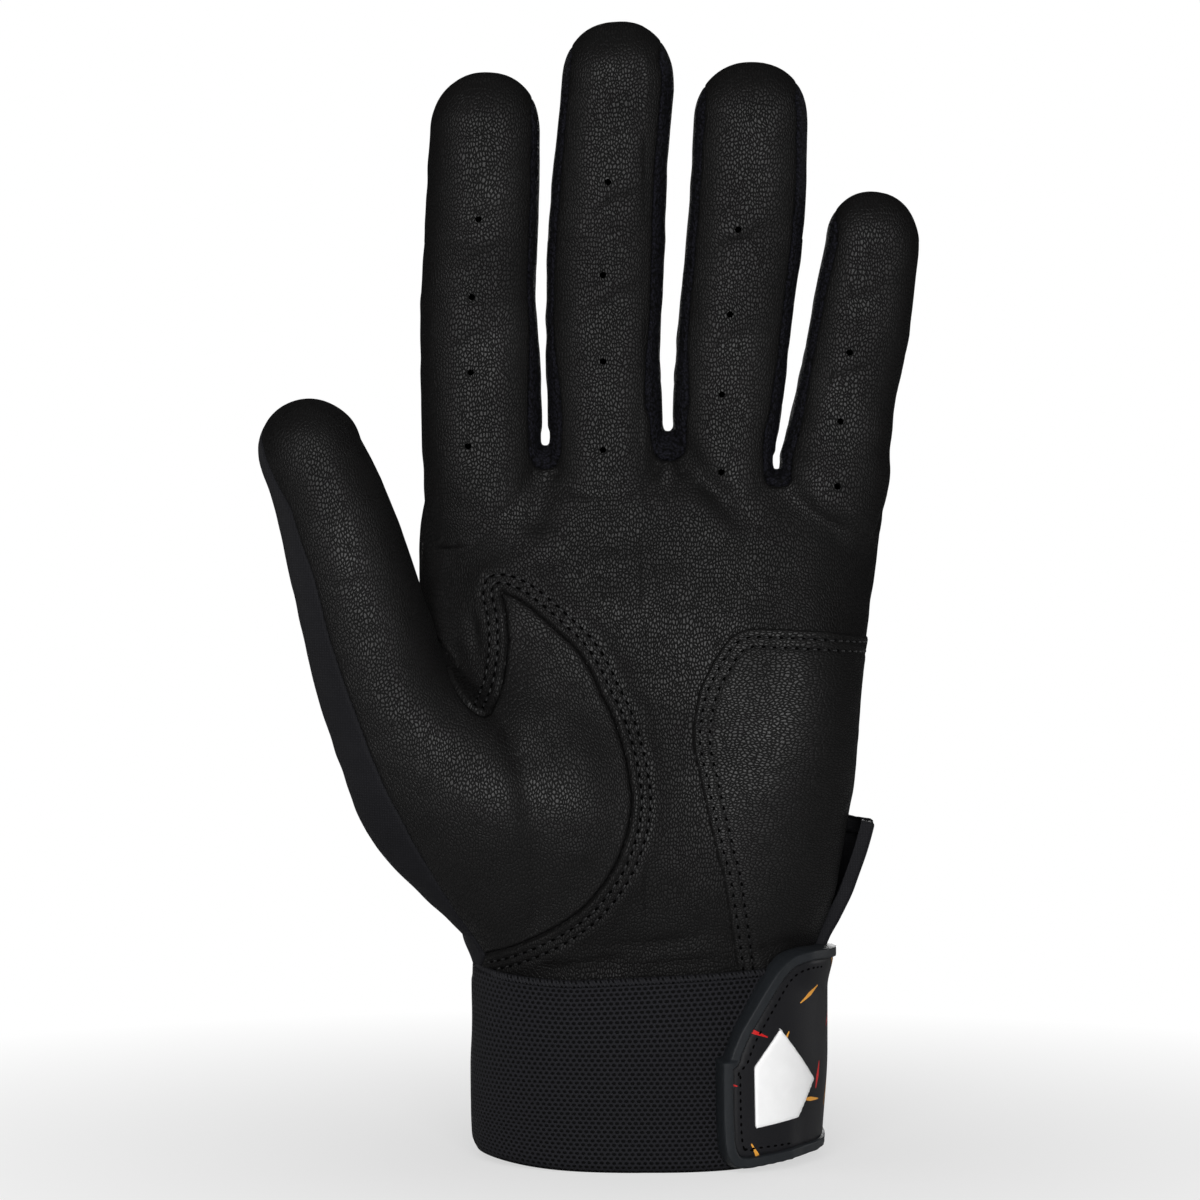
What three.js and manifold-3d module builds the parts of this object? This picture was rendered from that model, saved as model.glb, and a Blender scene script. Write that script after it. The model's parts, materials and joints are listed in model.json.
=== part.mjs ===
// A batting glove for the left hand, filled out as if worn: fingers up along +Z, palm facing -Y.
// The origin is the centre of the cuff's mouth, where the hand goes in.
// A glove is sewn from flat pieces, so each piece here is cut out of one hand-shaped skin along
// its seams, and every seam keeps the same small gap. Fingers and thumb bend on hinges across
// their roots, and the wrist strap peels open on a hinge at the little-finger side.
// The hand stands on the cuff: its heights, and those of the flap, start at the cuff's top edge.
import * as THREE from "three";
import { mergeVertices } from "three/addons/utils/BufferGeometryUtils.js";
import Module from "manifold-3d";

const wasm = await Module();
wasm.setup();

// Materials and layers, in millimetres
const SKIN = 1.0; // leather and backing fabric
const SEAM = 0.3; // gap along every seam, and between layers that lie on each other
const AROUND = 20; // points around a finger's cross-section
const PALM_AROUND = 28; // points around the palm and the cuff
const ROUNDNESS = 2.5; // 2 is an ellipse, more is squarer
const FAR = 200; // reach of a cutting prism past the glove

// Side seam between the palm leather and the back of the hand
const SIDE_SEAM_Y = 3;

// Cuff
const CUFF_HEIGHT = 36;
const CUFF_HALF_WIDTH = 33.6;
const CUFF_HALF_DEPTH = 23;
const CUFF_WALL = 1.6;
const EDGE_CORD = 1.7; // rolled overlock edge on top of the cuff
const TUCK = 7; // how far the palm reaches down inside the cuff

// Fingers. x and step place the middle of the finger at its crotch, step up from the knuckle line.
// lean is to the side and tilt is forward, in degrees. root and tip are half widths, depth is a half
// depth at the root, and cap is the length of the rounded end. gussets lists the sides that have one:
// -1 towards the thumb, 1 away.
const KNUCKLE_RISE = 102; // from the cuff's top edge to the line where the fingers part
const HINGE_RISE = 9; // from the crotch up to the line where a finger bends
const GUSSET = 5; // half the height of a side gusset, which is also the depth of the bend line
const GUSSET_DROP = 5.5; // how far a gusset's loop reaches down into the top of the palm
const GUSSET_STOP = 9; // leather closes over the gusset this far below the fingertip
const FINGER_ROOT = 20; // length buried in the palm
const ROOT_TAPER = 0.9; // a finger's width and depth at its buried end, against its root
const DEPTH_TAPER = 0.88; // a digit's depth at its tip, against its root
const BEND_DEG = 70;
const CREASE_CLEARANCE = 0.4;
const FINGERS = [
  {
    name: "index",
    x: -31.6,
    step: 0,
    length: 77.8,
    lean: 0.4,
    tilt: 3,
    root: 12.1,
    tip: 11.2,
    depth: 10.2,
    cap: 13,
    gussets: [1],
  },
  {
    name: "middle",
    x: -7.0,
    step: 1,
    length: 86.9,
    lean: 0.8,
    tilt: 3.5,
    root: 11.9,
    tip: 11.6,
    depth: 10.4,
    cap: 13,
    gussets: [-1, 1],
  },
  {
    name: "ring",
    x: 16.7,
    step: 0,
    length: 80.3,
    lean: 4.2,
    tilt: 4,
    root: 11.1,
    tip: 11.5,
    depth: 10.2,
    cap: 13,
    gussets: [-1, 1],
  },
  {
    name: "little",
    x: 38.4,
    step: -5,
    length: 60.4,
    lean: 9.0,
    tilt: 4,
    root: 11.2,
    tip: 9.4,
    depth: 9.4,
    cap: 11,
    gussets: [-1],
  },
];

// Thumb, from the ball of the thumb up to the line where its tip bends
const THUMB_TIP = {
  name: "thumb",
  length: 30.2,
  lean: -15,
  tilt: 0,
  root: 11.8,
  tip: 11.0,
  depth: 11,
  cap: 12,
};
const THUMB_PATH = [
  { x: -19.2, y: -2, rise: 15, lean: -38, width: 17.8, depth: 17 },
  { x: -29.6, y: -5, rise: 29, lean: -38, width: 17.8, depth: 18 },
  { x: -40.0, y: -8, rise: 42, lean: -34, width: 18.2, depth: 17 },
  { x: -47.4, y: -11, rise: 55, lean: -26, width: 15.6, depth: 14.5 },
  { x: -52.6, y: -13, rise: 67, lean: -20, width: 13.6, depth: 12.5 },
  { x: -59.2, y: -15, rise: 85.4, lean: -15, width: 11.8, depth: 11 },
];
const THUMB_BACK_Y = -8; // the thumb's leather wraps round to here on its inner side
const THUMB_SEAM_X = -9.3; // and to here on its outer side, from the thumb's own middle
const THUMB_BEND_DEG = 50;

// Palm cross-sections above the cuff. The lowest one follows the cuff.
const PALM = [
  {
    rise: 7,
    left: 0.6 - CUFF_HALF_WIDTH,
    right: CUFF_HALF_WIDTH + 0.4,
    front: 1 - CUFF_HALF_DEPTH,
    back: CUFF_HALF_DEPTH - 3,
  },
  { rise: 15, left: -37, right: 37.9, front: -22, back: 18.5 },
  { rise: 27, left: -40, right: 40.9, front: -21.5, back: 17 },
  { rise: 41, left: -42, right: 42.7, front: -20, back: 16 },
  { rise: 61, left: -43.5, right: 44.0, front: -17, back: 14.5 },
  { rise: KNUCKLE_RISE - 23, left: -44.2, right: 46.0, front: -14, back: 13 },
  { rise: KNUCKLE_RISE - 10, left: -43.6, right: 47.6, front: -11, back: 11, lean: 3 },
  { rise: KNUCKLE_RISE - 2.5, left: -41, right: 46, front: -9.2, back: 9.2, lean: 5 },
];

// Seams drawn on the palm, as [x, rise] points of a smooth line
const THUMB_ARC = [
  [3 - CUFF_HALF_WIDTH, 0],
  [-22.6, 7],
  [-8.6, 16.6],
  [-1.8, 31],
  [-4.5, 47],
  [-14, 66.5],
  [-28.6, 77.4],
];
const THUMB_LEAF = [THUMB_ARC.at(-1), [-26.8, 67], [-30.2, 54]];
const THUMB_INNER = [THUMB_LEAF.at(-1), [-37.8, 67], [-43.2, 77], [-46, 85]];
const THUMB_OUTER = [[-68.5, 85], [-62.2, 67], [-57.8, 54], [-51.2, 35], [-42.2, 19], THUMB_ARC[0]];
const CUFF_SIDE = [-CUFF_HALF_WIDTH - 0.2, 5];
const CORE_LINE = [[-45.4, 93], [-44.6, 71], [-42.8, 41], [-37.9, 15], CUFF_SIDE, [CUFF_SIDE[0], -9]];
const HEEL_ARC = [[21.5, 69.1], [15.8, 64.6], [10.3, 48], [14, 27.5], [18.2, 7]];
const HEEL_TOP = 68.5;
const HEEL_PAD = 1.0;

// Wrist strap, in layers outward from the cuff. Places across it start at the cuff's little-finger
// edge, and heights at the cuff's mouth, but those of its top edge start at the cuff's top edge.
const LOOP_PILE = 0.7;
const HOOK_PILE = 0.7;
const STRAP = 1.2;
const BADGE = 0.6;
const BINDING = 3.3; // width of the bound edge
const BINDING_PROUD = 0.5; // how far the bound edge stands above and below the strap
const STRAP_TOP = [[4.9, 6.2], [-0.6, 5.4], [-6.6, 1.4], [-13, -5.4], [-17.6, -12]];
const STRAP_REACH = 18.4; // from the hinge edge across to the free end
const STRAP_BOTTOM = 0.9;
const STRAP_CLIMB = 6.6; // the bottom edge runs level up to here, then climbs to the hinge edge
const STRAP_CORNER = 4.5;
const STRAP_END_RISE = 5.5; // bottom edge at the hinge, above the cuff's mouth
const STRAP_SPLIT = 2; // from the foot of the top edge down to where the two bindings meet
const HOOK_MARGIN = 1.6;
const LOOP_REACH = 15.6;
const PILE_MARGIN = 1.6; // from the hinge edge to the piles
const LOOP_MARGIN = 3;
const BADGE_OUTLINE = [[-10.9, 20.9], [-10.8, 8.7], [-2.2, 10], [0.8, 17.5], [-5.9, 28.1]];
const STRAP_BACK_END = -22; // where the strap's fixed end is sewn down on the back

// Wrist flap on the back, standing out at the little-finger side
const FLAP_BOTTOM = 7.5;
const FLAP_TOP = 32;
const FLAP_FRONT_Y = -4;
const FLAP_END_X = -6;
const FLAP_WALL = 1.6;
const FLAP_FLARE = 1.6;
const FLAP_BINDING = 3.0;

const LEATHER = { color: 0x1d1b1a, roughness: 0.55, metalness: 0 };
const BACK_FABRIC = { color: 0x17181b, roughness: 0.75, metalness: 0 };
const GUSSET_KNIT = { color: 0x12111a, roughness: 0.95, metalness: 0 };
const CUFF_KNIT = { color: 0x121213, roughness: 0.9, metalness: 0 };
const BINDING_RUBBER = { color: 0x1c2022, roughness: 0.6, metalness: 0 };
const STRAP_FACE = { color: 0x141415, roughness: 0.7, metalness: 0 };
const PILE = { color: 0x0d0d0e, roughness: 1, metalness: 0 };
const BADGE_WHITE = { color: 0xe9e9e8, roughness: 0.4, metalness: 0 };

// Solids

function solidFrom(geometry) {
  const bare = new THREE.BufferGeometry();
  bare.setAttribute("position", geometry.getAttribute("position"));
  bare.setIndex(geometry.getIndex());
  const merged = mergeVertices(bare, 1e-4);
  return new wasm.Manifold(
    new wasm.Mesh({
      numProp: 3,
      vertProperties: merged.attributes.position.array,
      triVerts: new Uint32Array(merged.index.array),
    }),
  );
}

function geometryOf(solid) {
  const mesh = solid.getMesh();
  const geometry = new THREE.BufferGeometry();
  geometry.setAttribute("position", new THREE.BufferAttribute(mesh.vertProperties, 3));
  geometry.setIndex(new THREE.BufferAttribute(mesh.triVerts, 1));
  geometry.computeVertexNormals();
  return geometry;
}

// The largest body of a cut: slivers that a seam leaves behind are trimmed away, as scissors would
function mainBody(solid) {
  return solid.decompose().reduce((a, b) => (a.volume() > b.volume() ? a : b));
}

function box(low, high) {
  const size = high.map((value, i) => value - low[i]);
  const centre = high.map((value, i) => (value + low[i]) / 2);
  return solidFrom(new THREE.BoxGeometry(...size).translate(...centre));
}

// A front-view outline of [x, z] points, carried through the glove from y0 to y1
function prism(outline, y0 = -FAR, y1 = FAR) {
  const shape = new THREE.Shape(outline.map(([x, z]) => new THREE.Vector2(x, z)));
  const geometry = new THREE.ExtrudeGeometry(shape, { depth: y1 - y0, bevelEnabled: false });
  return solidFrom(geometry.rotateX(Math.PI / 2).translate(0, y1, 0));
}

function smooth(points, steps = 4) {
  const curve = new THREE.SplineCurve(points.map(([x, z]) => new THREE.Vector2(x, z)));
  return curve.getPoints(steps * (points.length - 1)).map((p) => [p.x, p.y]);
}

// Moves each point of a closed outline inwards by a distance, along the bisector of its two edges
function insetOutline(outline, distance) {
  const area = outline.reduce((sum, [x, z], i) => {
    const [nextX, nextZ] = outline[(i + 1) % outline.length];
    return sum + x * nextZ - nextX * z;
  }, 0);
  const turn = Math.sign(area);
  return outline.map(([x, z], i) => {
    const before = outline[(i + outline.length - 1) % outline.length];
    const after = outline[(i + 1) % outline.length];
    const a = new THREE.Vector2(x - before[0], z - before[1]).normalize();
    const b = new THREE.Vector2(after[0] - x, after[1] - z).normalize();
    const normal = new THREE.Vector2(-(a.y + b.y), a.x + b.x).multiplyScalar(turn).normalize();
    const stretch = 1 / Math.max(0.5, normal.dot(new THREE.Vector2(-a.y, a.x).multiplyScalar(turn)));
    return [x + normal.x * distance * stretch, z + normal.y * distance * stretch];
  });
}

// A point of a rounded cross-section, between an ellipse and a box
function rounded(angle, width, depth) {
  const bulge = (value) => Math.sign(value) * Math.abs(value) ** (2 / ROUNDNESS);
  return [bulge(Math.cos(angle)) * width, bulge(Math.sin(angle)) * depth];
}

// A closed skin through rounded cross-sections, with a flat foot and a pointed last row
function loft(sections, apex, around) {
  const positions = [];
  const index = [];
  for (const { at, lean = 0, width, depth } of sections) {
    const tilt = THREE.MathUtils.degToRad(lean);
    for (let i = 0; i < around; i++) {
      const [across, deep] = rounded((2 * Math.PI * (i + 0.5)) / around, width, depth);
      positions.push(at[0] + across * Math.cos(tilt), at[1] + deep, at[2] - across * Math.sin(tilt));
    }
  }
  const foot = positions.length / 3;
  positions.push(...sections[0].at, ...apex);
  for (let i = 0; i < around; i++) {
    const next = (i + 1) % around;
    index.push(foot, next, i);
    for (let row = 0; row + 1 < sections.length; row++) {
      const a = row * around;
      const b = a + around;
      index.push(a + i, a + next, b + next, a + i, b + next, b + i);
    }
    const last = (sections.length - 1) * around;
    index.push(last + i, last + next, foot + 1);
  }
  const geometry = new THREE.BufferGeometry();
  geometry.setAttribute("position", new THREE.Float32BufferAttribute(positions, 3));
  geometry.setIndex(index);
  return geometry;
}

// Digits: the four fingers and the thumb's tip share one shape and one kind of bend

function frameOf(digit) {
  const lean = THREE.MathUtils.degToRad(digit.lean);
  const tilt = THREE.MathUtils.degToRad(digit.tilt);
  const turn = new THREE.Quaternion().setFromEuler(new THREE.Euler(tilt, lean, 0, "YXZ"));
  return new THREE.Matrix4().compose(digit.origin, turn, new THREE.Vector3(1, 1, 1));
}

// Cross-sections from a digit's root up to its blunt tip, measured up its own axis from its origin
function digitSections(digit, inset) {
  const frame = frameOf(digit);
  const straight = digit.length - digit.cap;
  const cap = digit.cap - inset;
  const place = (z) => new THREE.Vector3(0, 0, z).applyMatrix4(frame).toArray();
  const section = (z, scale) => {
    const share = THREE.MathUtils.clamp(z / straight, 0, 1);
    const width = THREE.MathUtils.lerp(digit.root, digit.tip, share) - inset;
    const depth = THREE.MathUtils.lerp(digit.depth, digit.depth * DEPTH_TAPER, share) - inset;
    return { at: place(z), lean: digit.lean, width: width * scale, depth: depth * scale };
  };
  const shaft = [0, 0.35, 0.7].map((share) => section(share * straight, 1));
  const dome = [0, 0.5, 0.78, 0.95].map((share) =>
    section(straight + share * cap, (1 - share ** ROUNDNESS) ** (1 / ROUNDNESS)),
  );
  const root = { ...section(0, ROOT_TAPER), at: place(-FINGER_ROOT) };
  const buried = digit.below?.map((row, i) => insetSection(row, inset, i === 0)) ?? [root];
  return { sections: [...buried, ...shaft, ...dome], apex: place(straight + cap) };
}

// A section of a thinner skin. The lowest one also moves up, so that the skin is closed below it.
function insetSection(section, inset, lowest) {
  const lean = THREE.MathUtils.degToRad(section.lean);
  const rise = lowest ? inset : 0;
  const [x, y, z] = section.at;
  return {
    ...section,
    at: [x + rise * Math.sin(lean), y, z + rise * Math.cos(lean)],
    width: section.width - inset,
    depth: section.depth - inset,
  };
}

function digitGeometry(digit, inset) {
  const { sections, apex } = digitSections(digit, inset);
  return loft(sections, apex, AROUND);
}

const fingers = FINGERS.map((finger) => ({
  ...finger,
  origin: new THREE.Vector3(finger.x, 0, KNUCKLE_RISE + finger.step),
  hinge: HINGE_RISE,
  bend: BEND_DEG,
}));
const thumbPath = THUMB_PATH.map(({ x, y, rise, ...section }) => ({ at: [x, y, rise], ...section }));
const thumb = {
  ...THUMB_TIP,
  origin: new THREE.Vector3(...thumbPath.at(-1).at),
  hinge: 0,
  bend: THUMB_BEND_DEG,
  below: thumbPath.slice(0, -1),
};
const digits = [...fingers, thumb];

// Skin of one digit in its own frame, where z = 0 is its bend line
function digitSkin(digit) {
  const toOwn = bendFrame(digit).invert();
  const outer = solidFrom(digitGeometry(digit, 0).applyMatrix4(toOwn));
  const inner = solidFrom(digitGeometry(digit, SKIN).applyMatrix4(toOwn));
  return outer.subtract(inner);
}

function bendFrame(digit) {
  return frameOf(digit).multiply(new THREE.Matrix4().makeTranslation(0, 0, digit.hinge));
}

// Height of the gap above the bend line in front, so that a bent digit's front leather folds down
// over the outside of the leather below it
function creaseHeight(digit) {
  const bend = THREE.MathUtils.degToRad(digit.bend);
  const reach = digit.depth - GUSSET;
  return (reach + CREASE_CLEARANCE - (reach - SKIN) * Math.cos(bend)) / Math.sin(bend);
}

function above(z) {
  return box([-FAR, -FAR, z], [FAR, FAR, FAR]);
}

// Palm skin, at an inset (or an outset, when negative) from its outer face

function palmGeometry(inset, flare = 0) {
  const neckWidth = CUFF_HALF_WIDTH - CUFF_WALL - SEAM;
  const neckDepth = CUFF_HALF_DEPTH - CUFF_WALL - SEAM;
  const neck = (z) => ({ at: [0, 0, z], width: neckWidth - inset, depth: neckDepth - inset });
  const foot = PALM[0].rise;
  const crown = PALM.at(-1).rise;
  const rows = PALM.map(({ rise, left, right, front, back, lean = 0 }) => {
    const spread = (flare * (rise - foot)) / (FLAP_TOP - foot) - inset;
    return {
      at: [(left + right) / 2, (front + back) / 2, rise - (rise === crown ? Math.max(inset, 0) : 0)],
      lean,
      width: (right - left) / 2 + spread,
      depth: (back - front) / 2 + spread,
    };
  });
  const tucked = neck(-TUCK - Math.max(inset, 0));
  return loft([tucked, neck(EDGE_CORD + SEAM), ...rows], rows.at(-1).at, PALM_AROUND);
}

function handSolid(inset) {
  const parts = [palmGeometry(inset), ...digits.map((digit) => digitGeometry(digit, inset))];
  return parts.map(solidFrom).reduce((a, b) => a.add(b));
}

// The fixed part of the hand: everything below the bend lines
function fixedSkin() {
  let hand = handSolid(0);
  for (const digit of digits) {
    const width = digit.root + SEAM;
    const moving = new THREE.BoxGeometry(2 * width, 2 * FAR, FAR);
    moving.translate(0, 0, FAR / 2 - SEAM / 2).applyMatrix4(bendFrame(digit));
    hand = hand.subtract(solidFrom(moving));
  }
  return hand.subtract(handSolid(SKIN));
}

// Piece regions of the fixed skin

// Between two fingers: the strip that loops down one side, under the crotch and up the other
function crotchRegion(left, right, margin) {
  const middle = (finger, z) => {
    const lean = Math.tan(THREE.MathUtils.degToRad(finger.lean));
    return [finger.x + (z - finger.origin.z) * lean, z];
  };
  const low = PALM.at(-1).rise - GUSSET_DROP - margin;
  const outline = [middle(left, low), middle(right, low), middle(right, FAR), middle(left, FAR)];
  return prism(outline, -GUSSET - margin, GUSSET + margin);
}

function thumbRegion(margin) {
  const outline = [
    ...smooth(THUMB_ARC),
    ...smooth(THUMB_LEAF).slice(1),
    ...smooth(THUMB_INNER).slice(1),
    [THUMB_INNER.at(-1)[0], FAR],
    [THUMB_OUTER[0][0], FAR],
    ...smooth(THUMB_OUTER).slice(0, -1),
  ];
  return prism(insetOutline(outline, -margin), -FAR, THUMB_BACK_Y + margin);
}

function thumbBackRegion(margin) {
  const line = CORE_LINE.map(([x, z]) => [x + margin, z]);
  return prism([...line, [-FAR, CORE_LINE.at(-1)[1]], [-FAR, CORE_LINE[0][1]]]);
}

function heelRegion(margin) {
  const foot = EDGE_CORD + 2 * SEAM;
  const outline = [...smooth(HEEL_ARC), [HEEL_ARC.at(-1)[0], foot], [FAR, foot], [FAR, HEEL_TOP]];
  return prism(insetOutline(outline, -margin), -FAR, SIDE_SEAM_Y);
}

// Assembly

const glove = new THREE.Group();
const hand = new THREE.Group();
hand.position.z = CUFF_HEIGHT;
glove.add(hand);

function piece(parent, name, solid, look) {
  const mesh = new THREE.Mesh(geometryOf(mainBody(solid)), new THREE.MeshStandardMaterial(look));
  mesh.name = name;
  parent.add(mesh);
}

const frontSide = box([-FAR, -FAR, -FAR], [FAR, SIDE_SEAM_Y - SEAM / 2, FAR]);
const backSide = box([-FAR, SIDE_SEAM_Y + SEAM / 2, -FAR], [FAR, FAR, FAR]);

// Palm, thumb and back pieces
const skin = fixedSkin();
const pairs = fingers.slice(1).map((right, i) => [fingers[i], right]);
const crotches = pairs.map(([left, right]) => crotchRegion(left, right, SEAM)).reduce((a, b) => a.add(b));
const withoutCrotches = skin.subtract(crotches);
const withoutThumb = withoutCrotches.subtract(thumbRegion(SEAM)).subtract(thumbBackRegion(SEAM));
piece(hand, "palm_leather", withoutThumb.intersect(frontSide), LEATHER);
piece(hand, "back_panel", withoutThumb.intersect(backSide), BACK_FABRIC);
piece(hand, "thumb_leather", skin.intersect(thumbRegion(0)), LEATHER);
piece(hand, "thumb_back_panel", skin.intersect(thumbBackRegion(0)).subtract(thumbRegion(SEAM)), BACK_FABRIC);
for (const [left, right] of pairs) {
  const loop = skin.intersect(crotchRegion(left, right, 0));
  piece(hand, `${left.name}_${right.name}_fourchette`, loop, GUSSET_KNIT);
}

// Heel pad: a second layer of leather over the little-finger side of the palm
const padOuter = solidFrom(palmGeometry(-SEAM - HEEL_PAD));
const padInner = solidFrom(palmGeometry(-SEAM));
piece(hand, "heel_pad", padOuter.subtract(padInner).intersect(heelRegion(0)), LEATHER);

// Every digit has a crease strip across its front, which folds when the digit bends
function bendingGroup(digit) {
  const group = new THREE.Group();
  bendFrame(digit).decompose(group.position, group.quaternion, group.scale);
  hand.add(group);
  const crease = creaseHeight(digit);
  const strip = box([-FAR, -FAR, SEAM / 2], [FAR, -GUSSET - SEAM, crease - SEAM]);
  piece(group, `${digit.name}_crease`, digitSkin(digit).intersect(strip), LEATHER);
  const fold = box([-FAR, -FAR, -SEAM], [FAR, -GUSSET, crease]);
  return { group, moving: digitSkin(digit).intersect(above(SEAM / 2)).subtract(fold) };
}

// Fingers: front leather, back fabric and side gussets
for (const finger of fingers) {
  const { group, moving } = bendingGroup(finger);
  const stop = finger.length - finger.hinge - GUSSET_STOP;
  const sides = finger.gussets.map((side) => (margin) => {
    const reach = side > 0 ? [0, FAR] : [-FAR, 0];
    return box([reach[0], -GUSSET - margin, -SEAM], [reach[1], GUSSET + margin, stop + margin]);
  });
  const panels = sides.reduce((rest, side) => rest.subtract(side(SEAM)), moving);
  const seamY = finger.gussets.length > 1 ? 0 : SIDE_SEAM_Y;
  const leather = box([-FAR, -FAR, -FAR], [FAR, seamY - SEAM / 2, FAR]);
  const fabric = box([-FAR, seamY + SEAM / 2, -FAR], [FAR, FAR, FAR]);
  piece(group, `${finger.name}_front`, panels.intersect(leather), LEATHER);
  piece(group, `${finger.name}_back`, panels.intersect(fabric), BACK_FABRIC);
  sides.forEach((side, i) => {
    const name = finger.gussets[i] > 0 ? "outer_gusset" : "inner_gusset";
    piece(group, `${finger.name}_${name}`, moving.intersect(side(0)), GUSSET_KNIT);
  });
}

// Thumb tip: its leather wraps round the inner side, its fabric round the outer side
const thumbEnd = bendingGroup(thumb);
const thumbLeather = (margin) =>
  box([THUMB_SEAM_X - margin, -FAR, -FAR], [FAR, THUMB_BACK_Y - thumb.origin.y + margin, FAR]);
piece(thumbEnd.group, "thumb_tip_front", thumbEnd.moving.intersect(thumbLeather(0)), LEATHER);
piece(thumbEnd.group, "thumb_tip_back", thumbEnd.moving.subtract(thumbLeather(SEAM)), BACK_FABRIC);

// Cuff: an elastic knit band, with an overlocked roll along its top edge

function cuffSolid(outset, low, high) {
  const row = (z) => ({ at: [0, 0, z], width: CUFF_HALF_WIDTH + outset, depth: CUFF_HALF_DEPTH + outset });
  return solidFrom(loft([row(low), row(high)], [0, 0, high], PALM_AROUND));
}

// A layer wrapped round the cuff, from one height above its face to another
function wrap(low, high) {
  return cuffSolid(high, -FAR, FAR).subtract(cuffSolid(low, -2 * FAR, 2 * FAR));
}

function hoop(outset, z, radius) {
  const corners = 8;
  const positions = [];
  const index = [];
  for (let i = 0; i < PALM_AROUND; i++) {
    const angle = (2 * Math.PI * (i + 0.5)) / PALM_AROUND;
    for (let j = 0; j < corners; j++) {
      const roll = (2 * Math.PI * j) / corners;
      const [x, y] = rounded(angle, CUFF_HALF_WIDTH + outset, CUFF_HALF_DEPTH + outset);
      const out = new THREE.Vector2(x, y).normalize().multiplyScalar(radius * Math.cos(roll));
      positions.push(x + out.x, y + out.y, z + radius * Math.sin(roll));
      const a = i * corners + j;
      const b = i * corners + ((j + 1) % corners);
      const step = corners * PALM_AROUND;
      index.push(a, (a + corners) % step, (b + corners) % step, a, (b + corners) % step, b);
    }
  }
  const geometry = new THREE.BufferGeometry();
  geometry.setAttribute("position", new THREE.Float32BufferAttribute(positions, 3));
  geometry.setIndex(index);
  return solidFrom(geometry);
}

const band = cuffSolid(0, 0, CUFF_HEIGHT).subtract(cuffSolid(-CUFF_WALL, -FAR, FAR));
piece(glove, "cuff_band", band, CUFF_KNIT);
const cordRadius = EDGE_CORD / 2;
const edgeCord = hoop(cordRadius - CUFF_WALL, CUFF_HEIGHT + SEAM + cordRadius, cordRadius);
piece(glove, "cuff_edge_cord", edgeCord, CUFF_KNIT);

// Wrist strap: loop pile on the cuff, hook pile under the tab, the tab itself, its bound edge and badge
const loopTop = SEAM + LOOP_PILE;
const hookLow = loopTop + SEAM;
const strapLow = hookLow + HOOK_PILE + SEAM;
const strapHigh = strapLow + STRAP;
const strapTop = STRAP_TOP.map(([x, rise]) => [CUFF_HALF_WIDTH + x, CUFF_HEIGHT + rise]);
const strapSplit = strapTop.at(-1)[1] - STRAP_SPLIT;
const strapLeft = CUFF_HALF_WIDTH - STRAP_REACH;
const tabSide = box([-FAR, -FAR, -FAR], [FAR, -SEAM / 2, FAR]);
const baseSide = box([-FAR, SEAM / 2, -FAR], [FAR, FAR, FAR]);

function tabOutline() {
  const corner = [];
  const centre = [strapLeft + STRAP_CORNER, STRAP_BOTTOM + STRAP_CORNER];
  for (let i = 0; i <= 4; i++) {
    const angle = Math.PI + (i / 4) * (Math.PI / 2);
    corner.push([centre[0] + STRAP_CORNER * Math.cos(angle), centre[1] + STRAP_CORNER * Math.sin(angle)]);
  }
  return [
    [FAR, strapTop[0][1]],
    ...smooth(strapTop, 3),
    [strapLeft, strapSplit],
    ...corner,
    [CUFF_HALF_WIDTH - STRAP_CLIMB, STRAP_BOTTOM],
    [CUFF_HALF_WIDTH, STRAP_END_RISE],
    [FAR, STRAP_END_RISE],
  ];
}

// A strap piece from its outline: a face inside the binding, and the binding round it
function strapFace(outline, side, low, high, margin) {
  return wrap(low, high).intersect(prism(insetOutline(outline, margin))).intersect(side);
}

function strapBinding(outline, side) {
  const edge = prism(outline).subtract(prism(insetOutline(outline, BINDING)));
  return wrap(strapLow - BINDING_PROUD, strapHigh + BINDING_PROUD).intersect(edge).intersect(side);
}

const tab = tabOutline();
const tabBinding = strapBinding(tab, tabSide);
const upper = box([-FAR, -FAR, strapSplit + SEAM / 2], [FAR, FAR, FAR]);
const lower = box([-FAR, -FAR, -FAR], [FAR, FAR, strapSplit - SEAM / 2]);
piece(glove, "strap_tab", strapFace(tab, tabSide, strapLow, strapHigh, BINDING + SEAM), STRAP_FACE);
piece(glove, "strap_upper_binding", tabBinding.intersect(upper), BINDING_RUBBER);
piece(glove, "strap_pull_binding", tabBinding.intersect(lower), BINDING_RUBBER);
const pileRight = CUFF_HALF_WIDTH - PILE_MARGIN;
const hookBox = box(
  [strapLeft + BINDING + HOOK_MARGIN, -FAR, STRAP_BOTTOM + BINDING + HOOK_MARGIN],
  [pileRight, 0, FAR],
);
const hook = strapFace(tab, tabSide, hookLow, hookLow + HOOK_PILE, BINDING + SEAM);
piece(glove, "hook_patch", hook.intersect(hookBox), PILE);
const loopLeft = CUFF_HALF_WIDTH - LOOP_REACH;
const loopBox = box([loopLeft, -FAR, LOOP_MARGIN], [pileRight, 0, CUFF_HEIGHT - LOOP_MARGIN]);
piece(glove, "loop_patch", wrap(SEAM, loopTop).intersect(loopBox), PILE);
const badgeOutline = BADGE_OUTLINE.map(([x, z]) => [CUFF_HALF_WIDTH + x, z]);
const badge = wrap(strapHigh + SEAM, strapHigh + SEAM + BADGE).intersect(prism(badgeOutline, -FAR, 0));
piece(glove, "number_badge", badge, BADGE_WHITE);

const baseOutline = [
  [FAR, strapTop[0][1]],
  [STRAP_BACK_END, strapTop[0][1]],
  [STRAP_BACK_END, STRAP_END_RISE],
  [FAR, STRAP_END_RISE],
];
piece(glove, "strap_base", strapFace(baseOutline, baseSide, strapLow, strapHigh, BINDING + SEAM), STRAP_FACE);
piece(glove, "strap_base_binding", strapBinding(baseOutline, baseSide), BINDING_RUBBER);
piece(glove, "strap_lining", strapFace(baseOutline, baseSide, SEAM, strapLow - SEAM, BINDING + SEAM), PILE);

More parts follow.
